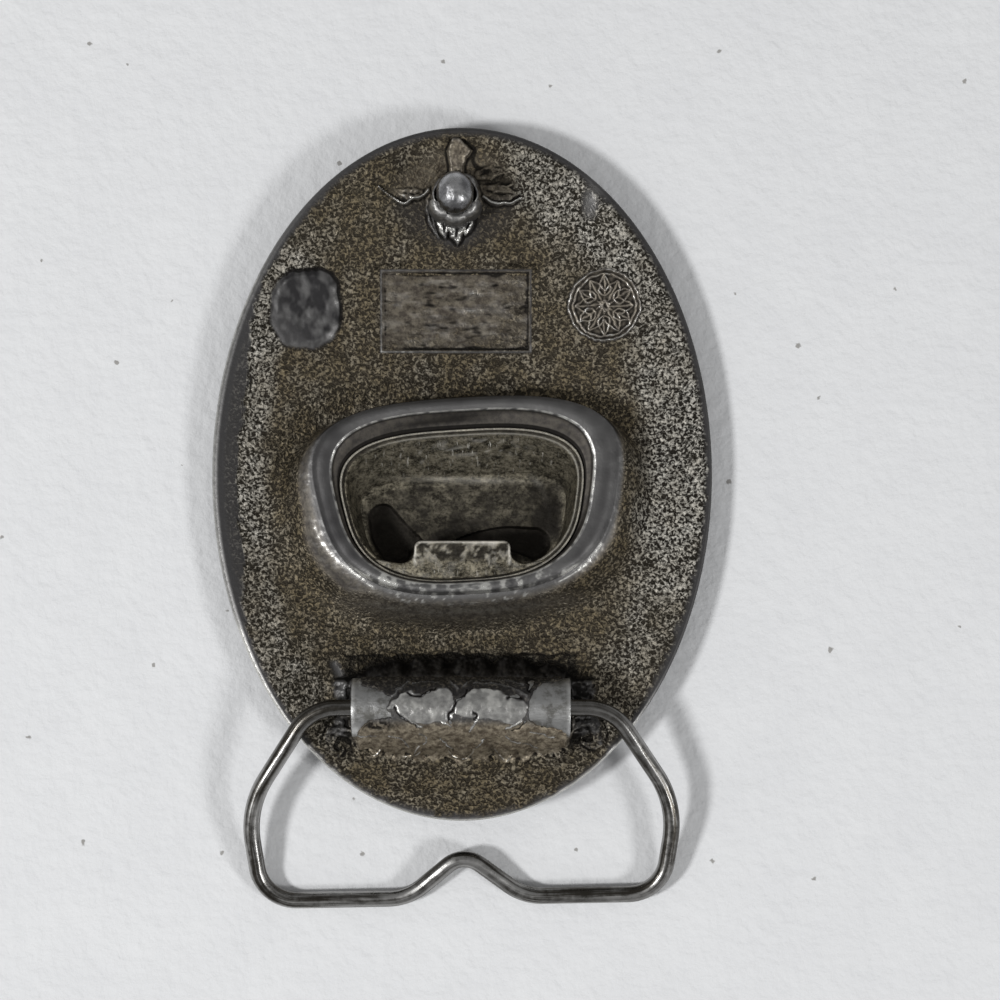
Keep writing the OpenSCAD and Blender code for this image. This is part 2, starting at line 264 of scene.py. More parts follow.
def grid_skin(across: int, along: int) -> BMesh:
    """A flat grid of quads over the unit square, to be shaped into a patch or leaf."""
    bm = bmesh.new()
    bmesh.ops.create_grid(bm, x_segments=across, y_segments=along, size=0.5)
    bmesh.ops.translate(bm, verts=bm.verts[:], vec=(0.5, 0.5, 0))
    return bm


def coordinates(mesh: Mesh) -> Points:
    """Vertex places of a mesh as rows of x, y and z, in the mesh's own unit."""
    co = np.empty(len(mesh.vertices) * 3)
    mesh.vertices.foreach_get("co", co)
    return co.reshape(-1, 3)


def move(mesh: Mesh, places: Points) -> None:
    """Puts every vertex in its place."""
    mesh.vertices.foreach_set("co", places.ravel())
    mesh.update()


def numbers(mesh: Mesh, name: str, kind: type = int) -> Points:
    """The number that each vertex carries under a name."""
    values = np.empty(len(mesh.vertices), kind)
    mesh.attributes[name].data.foreach_get("value", values)
    return values


def paint(mesh: Mesh, **layers: Points | float) -> None:
    """Stores one number per vertex under each name, for the finishes."""
    for name, values in layers.items():
        found = mesh.attributes.new(name, "FLOAT", "POINT")
        full = np.broadcast_to(np.asarray(values, float), len(mesh.vertices))
        found.data.foreach_set("value", full.astype(np.float32))


def hollows(mesh: Mesh, rounds: int) -> Points:
    """How deep each vertex lies below its neighbourhood, below zero on a ridge.

    Args:
        mesh: Mesh in millimetres.
        rounds: How many times a neighbourhood is averaged, so how wide it is.

    Returns:
        Depth in millimetres, one for each vertex.
    """
    co = coordinates(mesh)
    ends = np.empty(len(mesh.edges) * 2, int)
    mesh.edges.foreach_get("vertices", ends)
    a, b = ends[::2], ends[1::2]
    count = len(co)
    share = np.bincount(a, minlength=count) + np.bincount(b, minlength=count)
    smooth = co.copy()
    for _ in range(rounds):
        total = [
            np.bincount(a, smooth[b, i], count) + np.bincount(b, smooth[a, i], count) for i in range(3)
        ]
        smooth = np.stack(total, 1) / np.maximum(share, 1)[:, None]
    normals = np.empty(count * 3)
    mesh.vertices.foreach_get("normal", normals)
    return ((smooth - co) * normals.reshape(-1, 3)).sum(1)


def new_object(name: str, data: ID) -> Object:
    """A new object in the scene that shows some data."""
    made = bpy.data.objects.new(name, data)
    bpy.context.scene.collection.objects.link(made)
    return made


def finish_piece(
    name: str,
    bm: BMesh,
    material: Material,
    body: str = BUCKLE,
    replaces: str | None = None,
    sharp: float = 42.0,
    closed: bool = True,
    shape: Callable[[Mesh], None] | None = None,
) -> Object:
    """Turns a bmesh in millimetres into a dressed piece that rides on a body.

    Args:
        name: The piece's name.
        bm: Its mesh, freed here.
        material: Its finish.
        body: The body it moves with.
        replaces: The solid that it stands for, if any.
        sharp: Edges bent more than this many degrees stay crisp.
        closed: Whether its faces close round a volume and are turned outwards.
        shape: Last step on the mesh while it is still in millimetres.

    Returns:
        The new object.
    """
    bmesh.ops.remove_doubles(bm, verts=bm.verts[:], dist=1e-5)
    if closed:
        bmesh.ops.recalc_face_normals(bm, faces=bm.faces[:])
    mesh = bpy.data.meshes.new(name)
    bm.to_mesh(mesh)
    bm.free()
    if shape:
        shape(mesh)
    mesh.transform(Matrix.Scale(MM, 4))
    for scratch in ("station", "ring"):
        if scratch in mesh.attributes:
            mesh.attributes.remove(mesh.attributes[scratch])
    mesh.shade_smooth()
    mesh.set_sharp_from_angle(angle=math.radians(sharp))
    mesh.materials.append(material)
    piece = new_object(name, mesh)
    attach(piece, body)
    if replaces:
        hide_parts(replaces)
    LOG.info("%s: %d faces", name, len(mesh.polygons))
    return piece


def linear(hex_colour: str) -> tuple[float, float, float, float]:
    """Linear colour of an sRGB hex value such as 8a8780."""
    parts = [int(hex_colour[i : i + 2], 16) / 255 for i in (0, 2, 4)]
    r, g, b = (p / 12.92 if p <= 0.04045 else ((p + 0.055) / 1.055) ** 2.4 for p in parts)
    return r, g, b, 1.0


# Settings that all nodes of a kind share here
SHARED = {
    "Mix": {"data_type": "RGBA"},
    "Math": {"operation": "MULTIPLY_ADD"},
    "VectorMath": {"operation": "MULTIPLY_ADD"},
    "Bump": {"Strength": 1.0},
}
STEP = {"interpolation_type": "SMOOTHSTEP"}


def add_node(tree: NodeTree, kind: str, settings: dict | None = None, links: dict | None = None) -> Node:
    """Adds a shader node.

    Args:
        tree: Where it goes.
        kind: Its type, without the leading ShaderNode.
        settings: Values of its properties, or of its inputs by name or number.
        links: Nodes or sockets joined to its inputs; a node stands for its first output in use.

    Returns:
        The new node.
    """
    node = tree.nodes.new("ShaderNode" + kind)
    for name, value in {**SHARED.get(kind, {}), **(settings or {})}.items():
        if isinstance(name, str) and hasattr(node, name):
            setattr(node, name, value)
        else:
            node.inputs[name].default_value = value
    for name, source in (links or {}).items():
        if isinstance(source, Node):
            source = next(output for output in source.outputs if output.enabled)
        tree.links.new(source, node.inputs[name])
    return node


def new_material(name: str) -> tuple[Material, Callable[..., Node]]:
    """An empty node material, and add_node for its tree."""
    material = bpy.data.materials.new(name)
    material.use_nodes = True
    material.node_tree.nodes.clear()
    return material, partial(add_node, material.node_tree)


def pattern(size_mm: float, detail: float = 2.0, roughness: float = 0.5, **more: float) -> dict:
    """Settings of a noise with features of this size, on coordinates in metres."""
    return {"Scale": 1 / (size_mm * MM), "Detail": detail, "Roughness": roughness, **more}


@dataclass(frozen=True)
class CastPewter:
    """Pewter cast against a stippled mould, blackened, then rubbed bright where it is handled.

    The eye sees dark brown patina lying in the pits between small bright pebbles. The
    mouldings and edges have no pebbles and are worn to a soft grey sheen.
    """

    pebble: float = 0.38
    pebble_depth: float = 0.24
    patina: str = "38332a"
    pit: str = "100f0d"
    brown: str = "7f745e"
    silver: str = "dbd9d2"
    tarnish: str = "353435"
    smooth_grey: str = "797877"
    bright: str = "dcdbd6"
    earth: str = "bcb09a"
    dark_earth: str = "6b5f4f"
    # Near black for dirt in the hollows and for painted shade and painted shadows
    soot_and_shade: str = "100e0c"

    def material(self) -> Material:
        """Builds the finish; it reads the grain, wear, rub, hollow and brown of each vertex."""
        material, add = new_material("cast_pewter_stippled")
        place = add("TexCoord").outputs["Object"]
        grain, wear, rub, hollow, brown = (
            add("Attribute", {"attribute_name": name}).outputs["Fac"]
            for name in ("grain", "wear", "rub", "hollow", "brown")
        )
        # Pebbles: blobs and short worms of one warped noise, in patches of a slower one
        blobs = add("TexNoise", pattern(self.pebble, 0.8, Distortion=0.7), {"Vector": place})
        patches = add("TexNoise", pattern(1.6, 3.0, 0.6), {"Vector": place})
        pebbles = add("Math", {1: 0.2}, {0: patches, 2: blobs})
        raised = add("Math", {"operation": "MULTIPLY", 1: 1.6}, {0: pebbles})
        grained = add("Math", {"operation": "MULTIPLY"}, {0: raised, 1: grain})
        scuff = add("TexNoise", pattern(0.9, 6.0, 0.7), {"Vector": place})
        relief = add("Math", {1: 0.3}, {0: scuff, 2: grained})
        bump = add("Bump", {"Distance": self.pebble_depth * MM}, {"Height": relief})
        # Pebble tops go from brown where they are sheltered to silver where they are rubbed
        cloud = add("TexNoise", pattern(5.0, 6.0, 0.7), {"Vector": place})
        shared = add("Math", {1: 0.9}, {0: cloud, 2: rub})
        subtract = {"operation": "SUBTRACT", 1: 0.45, "use_clamp": True}
        share = add("Math", subtract, {0: shared})
        tops = add("Mix", {6: linear(self.brown), 7: linear(self.silver)}, {0: share})
        shown = add("Math", {1: 0.12}, {0: grain, 2: pebbles})
        height = add("MapRange", {**STEP, 1: 0.6, 2: 0.92}, {0: shown})
        pits = add("Mix", {6: linear(self.patina), 7: linear(self.pit)}, {0: share})
        stippled = add("Mix", {}, {0: height, 6: pits, 7: tops})
        # Smooth places go from tarnish to grey, and the most worn of them to bright metal; the wear also
        # carries painted highlights on some edges and corners
        dull_share = add("MapRange", {1: 0.0, 2: 0.7}, {0: wear})
        greys = {6: linear(self.tarnish), 7: linear(self.smooth_grey)}
        smooth = add("Mix", greys, {0: dull_share})
        crusted = add("MapRange", {**STEP, 1: 0.36, 2: 0.64}, {0: scuff})
        crust = add("Mix", {6: linear(self.dark_earth), 7: linear(self.earth)}, {0: crusted})
        earthy = add("Mix", {}, {0: brown, 6: smooth, 7: crust})
        patchy = add("Math", {1: 0.35}, {0: scuff, 2: wear})
        bright_share = add("MapRange", {**STEP, 1: 0.84, 2: 1.2}, {0: patchy})
        worn = add("Mix", {7: linear(self.bright)}, {0: bright_share, 6: earthy})
        grain_share = add("MapRange", {1: 0.0, 2: 0.7}, {0: grain})
        plain = add("Mix", {}, {0: grain_share, 6: worn, 7: stippled})
        # Dirt and patina in the hollows darken towards black, and so do the painted shade and painted
        # shadows that the hollow attribute carries
        shade_and_soot_share = add("MapRange", {**STEP, 1: 0.012, 2: 0.1, 4: 0.92}, {0: hollow})
        colour = add("Mix", {7: linear(self.soot_and_shade)}, {0: shade_and_soot_share, 6: plain})
        roughness = add("MapRange", {1: 0.0, 2: 1.0, 3: 0.64, 4: 0.27}, {0: wear})
        links = {"Base Color": colour, "Roughness": roughness, "Normal": bump}
        shader = add("BsdfPrincipled", {"Metallic": 0.85}, links)
        add("OutputMaterial", {}, {"Surface": shader})
        return material


@dataclass(frozen=True)
class PressedSteel:
    """Steel sheet pressed to a cup, its plating stained brown and scuffed by caps.

    The eye sees a dull olive brown with cloudy stains, fine pits, and thin bright scratches
    on the slope that bottle caps rub against.
    """

    stain: str = "25221b"
    steel: str = "958e7c"
    scratch: str = "dedad0"
    # Near black for stains and for the painted shade of the cup and its two pockets
    soot_and_shade: str = "24211d"
    grit: float = 0.34

    def material(self) -> Material:
        """Builds the finish; it reads the wear, rub and hollow of each vertex."""
        material, add = new_material("pressed_steel_stained")
        place = add("TexCoord").outputs["Object"]
        wear, rub, hollow = (
            add("Attribute", {"attribute_name": name}).outputs["Fac"] for name in ("wear", "rub", "hollow")
        )
        smeared = add("Mapping", {"Scale": (0.65, 1.0, 1.0)}, {"Vector": place})
        cloud = add("TexNoise", pattern(1.1, 8.0, 0.8), {"Vector": smeared})
        grit = add("TexNoise", pattern(self.grit, 4.0, 0.7), {"Vector": place})
        mottle = add("Math", {1: 0.55}, {0: grit, 2: cloud})
        blotch = add("MapRange", {**STEP, 1: 0.62, 2: 0.98}, {0: mottle})
        stained = add("Mix", {6: linear(self.stain), 7: linear(self.steel)}, {0: blotch})
        # Scratches run up the slope, so their pattern is drawn out along Y
        drawn_out = {"Rotation": (0, 0, 0.3), "Scale": (1.0, 0.2, 0.2)}
        drawn = add("Mapping", drawn_out, {"Vector": place})
        lines = add("TexNoise", pattern(0.34, 3.0, 0.6), {"Vector": drawn})
        nick = add("MapRange", {**STEP, 1: 0.6, 2: 0.72}, {0: lines})
        multiply = {"operation": "MULTIPLY", "use_clamp": True}
        scuffed = add("Math", multiply, {0: nick, 1: rub})
        marked = add("Mix", {7: linear(self.scratch)}, {0: scuffed, 6: stained})
        # Wear brightens to bare metal, in part as painted highlights along the edges; stains, painted shade
        # and the pockets' painted shade darken towards black
        burnished = add("Mix", {7: linear(self.scratch)}, {0: wear, 6: marked})
        dark_share = add("MapRange", {**STEP, 1: 0.02, 2: 0.3, 4: 0.97}, {0: hollow})
        colour = add("Mix", {7: linear(self.soot_and_shade)}, {0: dark_share, 6: burnished})
        roughness = add("MapRange", {1: 0.3, 2: 0.7, 3: 0.62, 4: 0.42}, {0: cloud})
        bump = add("Bump", {"Distance": 0.12 * MM}, {"Height": mottle})
        links = {"Base Color": colour, "Roughness": roughness, "Normal": bump}
        shader = add("BsdfPrincipled", {"Metallic": 0.85}, links)
        add("OutputMaterial", {}, {"Surface": shader})
        return material


@dataclass(frozen=True)
class WornTube:
    """Drawn tube of nickel silver, gone grey and rubbed to a satin by the belt.

    The eye sees a plain soft sheen with fine scratches along the tube and a few dull dents.
    """

    metal: str = "a3a3a2"
    dull: str = "74736f"
    bright: str = "e2e2e0"
    streak: float = 0.14

    def material(self) -> Material:
        """Builds the finish; its scratches run along X, and it reads each vertex's wear."""
        material, add = new_material("nickel_silver_tube_worn")
        wear = add("Attribute", {"attribute_name": "wear"}).outputs["Fac"]
        place = add("TexCoord").outputs["Object"]
        drawn = add("Mapping", {"Scale": (0.12, 1.0, 1.0)}, {"Vector": place})
        streaks = add("TexNoise", pattern(self.streak, 3.0, 0.6), {"Vector": drawn})
        cloud = add("TexNoise", pattern(1.3, 6.0, 0.65), {"Vector": place})
        share = add("MapRange", {**STEP, 1: 0.32, 2: 0.58}, {0: cloud})
        satin = add("Mix", {6: linear(self.dull), 7: linear(self.metal)}, {0: share})
        colour = add("Mix", {7: linear(self.bright)}, {0: wear, 6: satin})
        height = add("Math", {1: 3.0}, {0: cloud, 2: streaks})
        bump = add("Bump", {"Distance": 0.03 * MM}, {"Height": height})
        roughness = add("MapRange", {1: 0.3, 2: 0.7, 3: 0.36, 4: 0.52}, {0: streaks})
        links = {"Base Color": colour, "Roughness": roughness, "Normal": bump}
        shader = add("BsdfPrincipled", {"Metallic": 1.0}, links)
        add("OutputMaterial", {}, {"Surface": shader})
        return material


@dataclass(frozen=True)
class PolishedStud:
    """Turned nickel silver stud, its head polished by pushing through leather.

    The eye sees small clear highlights broken by dents, over a patchy grey film.
    """

    metal: str = "b4b4b5"
    film: str = "7d7d7f"
    pit: float = 0.7

    def material(self) -> Material:
        """Builds the finish."""
        material, add = new_material("nickel_silver_stud_polished")
        place = add("TexCoord").outputs["Object"]
        dents = add("TexNoise", pattern(self.pit, 4.0, 0.65), {"Vector": place})
        bump = add("Bump", {"Distance": 0.09 * MM}, {"Height": dents})
        roughness = add("MapRange", {1: 0.3, 2: 0.7, 3: 0.18, 4: 0.4}, {0: dents})
        cloud = add("TexNoise", pattern(2.4, 5.0, 0.65), {"Vector": place})
        filmed = add("MapRange", {**STEP, 1: 0.42, 2: 0.6}, {0: cloud})
        colour = add("Mix", {6: linear(self.film), 7: linear(self.metal)}, {0: filmed})
        links = {"Base Color": colour, "Roughness": roughness, "Normal": bump}
        shader = add("BsdfPrincipled", {"Metallic": 1.0}, links)
        add("OutputMaterial", {}, {"Surface": shader})
        return material


@dataclass(frozen=True)
class DrawnWire:
    """Hard drawn steel wire, bent cold and rubbed bright.

    The eye sees long dark and bright lines along the wire, from the drawing die, from rubbing
    and in part as painted reflections; it is dirtier where it was bent and seldom rubbed.
    """

    steel: str = "a6a5a3"
    grime_and_dark_reflection: str = "45423d"
    line: float = 0.55

    def material(self) -> Material:
        """Builds the finish; it reads each vertex's wear, and its place round and along."""
        material, add = new_material("drawn_steel_wire")
        place = add("TexCoord").outputs["Object"]
        lay = add("Attribute", {"attribute_name": "lay"}).outputs["Vector"]
        wear = add("Attribute", {"attribute_name": "wear"}).outputs["Fac"]
        # Dark and bright lines round and along the wire: die marks, and in part painted reflections
        along = {"Scale": 1 / self.line, "Detail": 3.0, "Roughness": 0.6}
        lines = add("TexNoise", along, {"Vector": lay})
        cloud = add("TexNoise", pattern(1.6, 6.0, 0.7), {"Vector": place})
        marks = add("Math", {1: 0.3}, {0: cloud, 2: lines})
        clean = add("MapRange", {**STEP, 1: 0.52, 2: 0.78}, {0: marks})
        share = add("Math", {"operation": "MULTIPLY"}, {0: clean, 1: wear})
        colour = add("Mix", {6: linear(self.grime_and_dark_reflection), 7: linear(self.steel)}, {0: share})
        bump = add("Bump", {"Distance": 0.09 * MM}, {"Height": marks})
        roughness = add("MapRange", {1: 0.3, 2: 0.7, 3: 0.2, 4: 0.42}, {0: cloud})
        links = {"Base Color": colour, "Roughness": roughness, "Normal": bump}
        shader = add("BsdfPrincipled", {"Metallic": 1.0}, links)
        add("OutputMaterial", {}, {"Surface": shader})
        return material


@dataclass(frozen=True)
class PlasterTable:
    """White plaster trowelled nearly flat, with soft hollows and a few dark specks."""

    white: str = "e8e9ea"
    shade: str = "dddee0"
    speck: str = "6f6a62"
    speck_pitch: float = 22.0

    def material(self) -> Material:
        """Builds the finish."""
        material, add = new_material("white_plaster")
        place = add("TexCoord").outputs["Object"]
        cloud = add("TexNoise", pattern(9.0, 6.0, 0.6), {"Vector": place})
        tone = add("Mix", {6: linear(self.shade), 7: linear(self.white)}, {0: cloud})
        # Specks: dots of uneven size on a grid that is swayed out of line
        sway = add("TexNoise", pattern(0.7, 3.0), {"Vector": place}).outputs["Color"]
        swayed = add("VectorMath", {1: (0.9 * MM,) * 3}, {0: sway, 2: place})
        flat = {"voronoi_dimensions": "2D", "Scale": 1 / (self.speck_pitch * MM)}
        dots = add("TexVoronoi", flat, {"Vector": swayed})
        sized = add("Math", {1: -0.014}, {0: dots.outputs["Color"], 2: dots})
        dot_share = add("MapRange", {**STEP, 1: 0.008, 2: 0.0, 4: 0.7}, {0: sized})
        colour = add("Mix", {7: linear(self.speck)}, {0: dot_share, 6: tone})
        trowel = add("TexNoise", pattern(1.9, 5.0, 0.55), {"Vector": place})
        bump = add("Bump", {"Distance": 0.34 * MM}, {"Height": trowel})
        links = {"Base Color": colour, "Normal": bump}
        shader = add("BsdfPrincipled", {"Roughness": 0.85}, links)
        add("OutputMaterial", {}, {"Surface": shader})
        return material


@dataclass(frozen=True)
class PlateForm:
    """The oval plate's two faces as heights over the floor."""

    width: float
    length: float
    thickness: float = 2.2
    dome_radius: float = 220.0
    flat_radius: float = 15.0
    border: float = 2.0
    chamfer: float = 0.7

    def front(self, x: Points, y: Points) -> Points:
        """Height of the front at each place."""
        return np.maximum(0, (x * x + y * y - self.flat_radius**2) / (2 * self.dome_radius))

    def back(self, x: Points, y: Points) -> Points:
        """Height of the plain back at each place."""
        return self.front(x, y) + self.thickness

    def outline(self, inset: float) -> Oval:
        """The plate's outline, inset by that much."""
        return Oval(self.width - 2 * inset, self.length - 2 * inset)

    def inset(self, x: Points, y: Points) -> Points:
        """Rough distance of each place from the plate's edge."""
        share = np.hypot(x / (self.width / 2), y / (self.length / 2))
        reach = np.hypot(x, y) / np.maximum(share, 1e-6)
        return (1 - share) * reach

    def left(self, x: Points, y: Points) -> Points:
        """How much of a place's edge is the broad smooth one on the left."""
        return between(x, 2, -22) * between(y, -38, -16) * between(y, 44, 22)

    def grain(self, x: Points, y: Points) -> Points:
        """Strength of the pebbles: none along the border, which is wider on the left."""
        broad = between(x, 2, -22) * between(y, -21, -9) * between(y, 24, 11)
        start = 0.95 + 2.1 * broad - 0.6 * between(y, -28, -38) - 0.35 * between(x + y, 14, 26)
        ragged = self.inset(x, y) + 0.3 * wander(x, y, 2.5, 3) + 0.5 * crumb(x, y, 0.8, 41) * broad
        strength = mix(0.72, 1, np.minimum(2 * self.rub(x, y), 1))
        specks = 0.16 * broad * between(self.inset(x, y), 1.3, 2.0)
        return np.maximum(between(ragged, start - 0.1, start + 0.6) * strength, specks)

    def rub(self, x: Points, y: Points) -> Points:
        """How bright the pebbles are rubbed: most near the border, and more on the right."""
        away = self.inset(x, y) + 1.2 * wander(x, y, 9, 5)
        left = 0.44 * between(away, 8.2, 5.0) * between(x, 0, -10) * between(y, 34, 24)
        left *= 1 - 0.3 * between(y, -4, -14)
        right = 0.62 * between(away, 12, 6.0) * between(x, 2, 12) * (1 - 0.6 * between(y, -4, -24))
        right *= 1 - 0.25 * between(y, 6, 16)
        upper = 0.04 * between(x, 2, 16) * between(y, 14, 30)
        low = between(y, -39, -31)
        return clamp(0.05 + (left + right) * low + upper + 0.08 * wander(x, y, 5, 6))


@dataclass(frozen=True)
class Mouth:
    """The opener's mouth in the plate: the oval that all its mouldings follow."""

    width: float = 32.3
    height: float = 21.8
    rim_z: float = 8.2
    turn: float = 3.4
    centre: Pair = (0.33, -3.2)
    top: float = 0.665
    low: float = 0.71
    taper: float = 0.124
    rim_extra: Pair = (5.6, 3.1)
    rim_shift: Pair = (0.45, 0.1)
    cup_less: Pair = (2.1, 2.4)
    cup_shift: Pair = (-0.1, -1.1)
    floor_size: Pair = (25.0, 12.4)
    floor_shift: Pair = (0.0, -3.6)

    def oval(self) -> Oval:
        """Inner edge of the rim."""
        return Oval(self.width, self.height, self.centre, self.turn, self.top, self.low, self.taper)

    def rim(self, share: float) -> Oval:
        """An oval across the rim: 0 at its inner edge, 1 where it meets the mound."""
        shift = (self.rim_shift[0] * share, self.rim_shift[1] * share)
        return self.oval().grown(self.rim_extra[0] * share, self.rim_extra[1] * share, shift)

    def cup(self, grow: float) -> Oval:
        """Outline of the cup's upper edge, grown by that much all round."""
        return self.oval().grown(2 * grow - self.cup_less[0], 2 * grow - self.cup_less[1], self.cup_shift)

    def floor(self, grow: float) -> Oval:
        """Outline of the cup's floor, grown by that much all round."""
        centre = (self.centre[0] + self.floor_shift[0], self.centre[1] + self.floor_shift[1])
        width, height = self.floor_size
        return Oval(width + 2 * grow, height + 2 * grow, centre, self.turn, 0.5, 0.75, 0.1)


@dataclass
class ReliefPatch:
    """A finer stretch of the casting's back, carrying raised work.

    It follows the back of the plate, and sinks into it along its own border, whose width is
    fade. Half is half its width and length, pitch the distance between its grid lines, keep_off
    the distance it stays away from the plate's edge, and burnish how bright its crests are.
    """

    name: str
    centre: Pair
    half: Pair
    pitch: float
    plate: PlateForm
    keep_off: float = 0.95
    fade: float = 0.6
    burnish: float = 0.4

    def local(self, x: Points, y: Points) -> Both:
        """Places from the patch's middle."""
        return x - self.centre[0], y - self.centre[1]

    def depth(self, x: Points, y: Points) -> Points:
        """Distance inside the patch's border."""
        dx, dy = self.local(x, y)
        inside = np.minimum(self.half[0] - np.abs(dx), self.half[1] - np.abs(dy))
        return np.minimum(inside, self.plate.inset(x, y) - self.keep_off)

    def relief(self, x: Points, y: Points) -> Points:
        """Height of the raised work over the back of the plate."""
        raise NotImplementedError

    def skin(self, x: Points, y: Points, rise: Points) -> dict[str, Points]:
        """Grain, wear, darkening and brown cast of each place; the darkening is dirt in the hollows, and in
        some patches painted shade and shadow.
        """
        raise NotImplementedError

    def _grid(self) -> BMesh:
        """A grid over the patch, trimmed to the plate."""
        across, along = (int(2 * half / self.pitch) for half in self.half)
        bm = grid_skin(across, along)
        size = (2 * self.half[0], 2 * self.half[1], 1)
        corner = (self.centre[0] - self.half[0], self.centre[1] - self.half[1], 0)
        bmesh.ops.scale(bm, verts=bm.verts[:], vec=size)
        bmesh.ops.translate(bm, verts=bm.verts[:], vec=corner)
        co = np.array([vert.co.xy for vert in bm.verts])
        outside = self.plate.inset(co[:, 0], co[:, 1]) < self.keep_off - 0.05
        bmesh.ops.delete(bm, geom=[v for v, out in zip(bm.verts, outside) if out], context="VERTS")
        return bm

    def build(self, material: Material) -> Object:
        """Makes the patch's mesh, its paint and the finished piece."""

        def shape(mesh: Mesh) -> None:
            """Lays the grid on the plate and raises it."""
            x, y, _ = coordinates(mesh).T
            inner = between(self.depth(x, y), 0, self.fade)
            rise = self.relief(x, y)
            z = self.plate.back(x, y) - 0.07 + rise * inner - 0.12 * (1 - inner)
            move(mesh, np.stack([x, y, z], 1))
            skin = self.skin(x, y, rise)
            bend = hollows(mesh, 12) * inner
            crest = self.burnish * between(bend, -0.02, -0.12) * between(rise, 0.05, 0.3)
            skin["wear"] = clamp(skin["wear"] + crest)
            skin["hollow"] = bend + skin["hollow"]
            paint(mesh, rub=self.plate.rub(x, y), **skin)

        return finish_piece(
            self.name, self._grid(), material, sharp=180, closed=False, shape=shape
        )


def nearest(path: Points, x: Points, y: Points) -> Both:
    """Distance of each place from a path, and how far along the path its nearest point is.

    Args:
        path: Points of the path.
        x: Places across.
        y: Places along.

    Returns:
        The distances, and the shares of the path from 0 to 1.
    """
    gone = (x[:, None] - path[:, 0]) ** 2 + (y[:, None] - path[:, 1]) ** 2
    index = gone.argmin(1)
    return np.sqrt(gone[np.arange(len(x)), index]), index / (len(path) - 1)


@dataclass(frozen=True)
class Stroke:
    """A drawn line of relief, such as a ridge or a cleft, and half its width at both ends."""

    points: tuple[Pair, ...]
    half_width: float
    end_width: float

    def path(self) -> Points:
        """Points along a smooth curve through the given places."""
        keys = [np.array([point], float) for point in self.points]
        return np.concatenate([keys[0], *through(keys, 12)])

    def share(self, x: Points, y: Points) -> Points:
        """Distance of each place from the line, 1 at its edge."""
        path = self.path()
        reach = max(self.half_width, self.end_width) * 3
        low, high = path.min(0) - reach, path.max(0) + reach
        near = (x > low[0]) & (x < high[0]) & (y > low[1]) & (y < high[1])
        out = np.full(len(x), 9.0)
        distance, t = nearest(path, x[near], y[near])
        out[near] = distance / mix(self.half_width, self.end_width, t)
        return out


def crests(strokes: Sequence[Stroke], x: Points, y: Points) -> Points:
    """Rounded profile of a set of strokes: 1 along their lines, 0 beside them."""
    total = np.zeros(len(x))
    for stroke in strokes:
        total = np.maximum(total, bell(stroke.share(x, y), 0.75))
    return total


def pools(strokes: Sequence[Stroke], x: Points, y: Points) -> Points:
    """Flat profile of a set of strokes: 1 inside them, with crisp edges."""
    total = np.zeros(len(x))
    for stroke in strokes:
        total = np.maximum(total, 1 - between(stroke.share(x, y), 0.85, 1.1))
    return total


@dataclass(frozen=True)
class Leaf:
    """One cast leaf: a spine pulled towards a bend, with a lobed blade on both sides.

    Rise is its height over what it lies on, lobes their number along each side, and vein the
    depth of the groove along its spine as a share of the rise.
    """

    start: Pair
    bend: Pair
    end: Pair
    half_width: float
    rise: float
    lobes: int = 3
    vein: float = 0.45

    def spine(self) -> Points:
        """Points along the spine."""
        t = np.linspace(0, 1, 40)[:, None]
        a, b, c = (np.array(p, float) for p in (self.start, self.bend, self.end))
        return a * (1 - t) ** 2 + b * 2 * t * (1 - t) + c * t**2

    def width_at(self, t: Points) -> Points:
        """Half-width of the blade at each share of the spine."""
        blade = (0.45 + 0.75 * np.sin(math.pi * clamp(t) ** 0.8)) * (1 - t**5)
        lobed = 1 - 0.16 * np.abs(np.sin(math.pi * self.lobes * t))
        return self.half_width * np.maximum(blade * lobed, 0.03)

    def height(self, x: Points, y: Points) -> Points:
        """Height of the leaf at each place, 0 outside its blade."""
        distance, t = nearest(self.spine(), x, y)
        share = distance / self.width_at(t)
        edge = 1 - between(share, 0.55, 1.0)
        roll = 0.7 + 0.3 * np.minimum(share, 1) ** 2
        groove = self.vein * bell(share, 0.16)
        ribs = 0.1 * np.cos(TURN * (self.lobes * t + 0.9 * share))
        body = 0.55 + 0.45 * np.sin(math.pi * clamp(t * 0.85 + 0.1))
        return self.rise * edge * body * np.maximum(roll - groove + ribs, 0)


@dataclass(frozen=True)
class Curl(Leaf):
    """A leaf whose spine winds inwards to a scroll; turns below zero go the other way round."""

    turns: float = 0.9

    def spine(self) -> Points:
        """Points along the scroll; start is its centre and end its outer end."""
        t = np.linspace(0, 1, 60)
        centre, outer = np.array(self.start), np.array(self.end)
        reach = math.dist(self.start, self.end)
        first = math.atan2(*(outer - centre)[::-1])
        angle = first + TURN * self.turns * t
        radius = reach * (1 - 0.78 * t)
        return np.stack([centre[0] + radius * np.cos(angle), centre[1] + radius * np.sin(angle)], 1)


def leafwork(leaves: Sequence[Leaf], x: Points, y: Points) -> Points:
    """Height of leaves that lie over and beside each other, the highest on top."""
    total = np.zeros_like(x)
    for leaf in leaves:
        total = np.maximum(total, leaf.height(x, y))
    return total


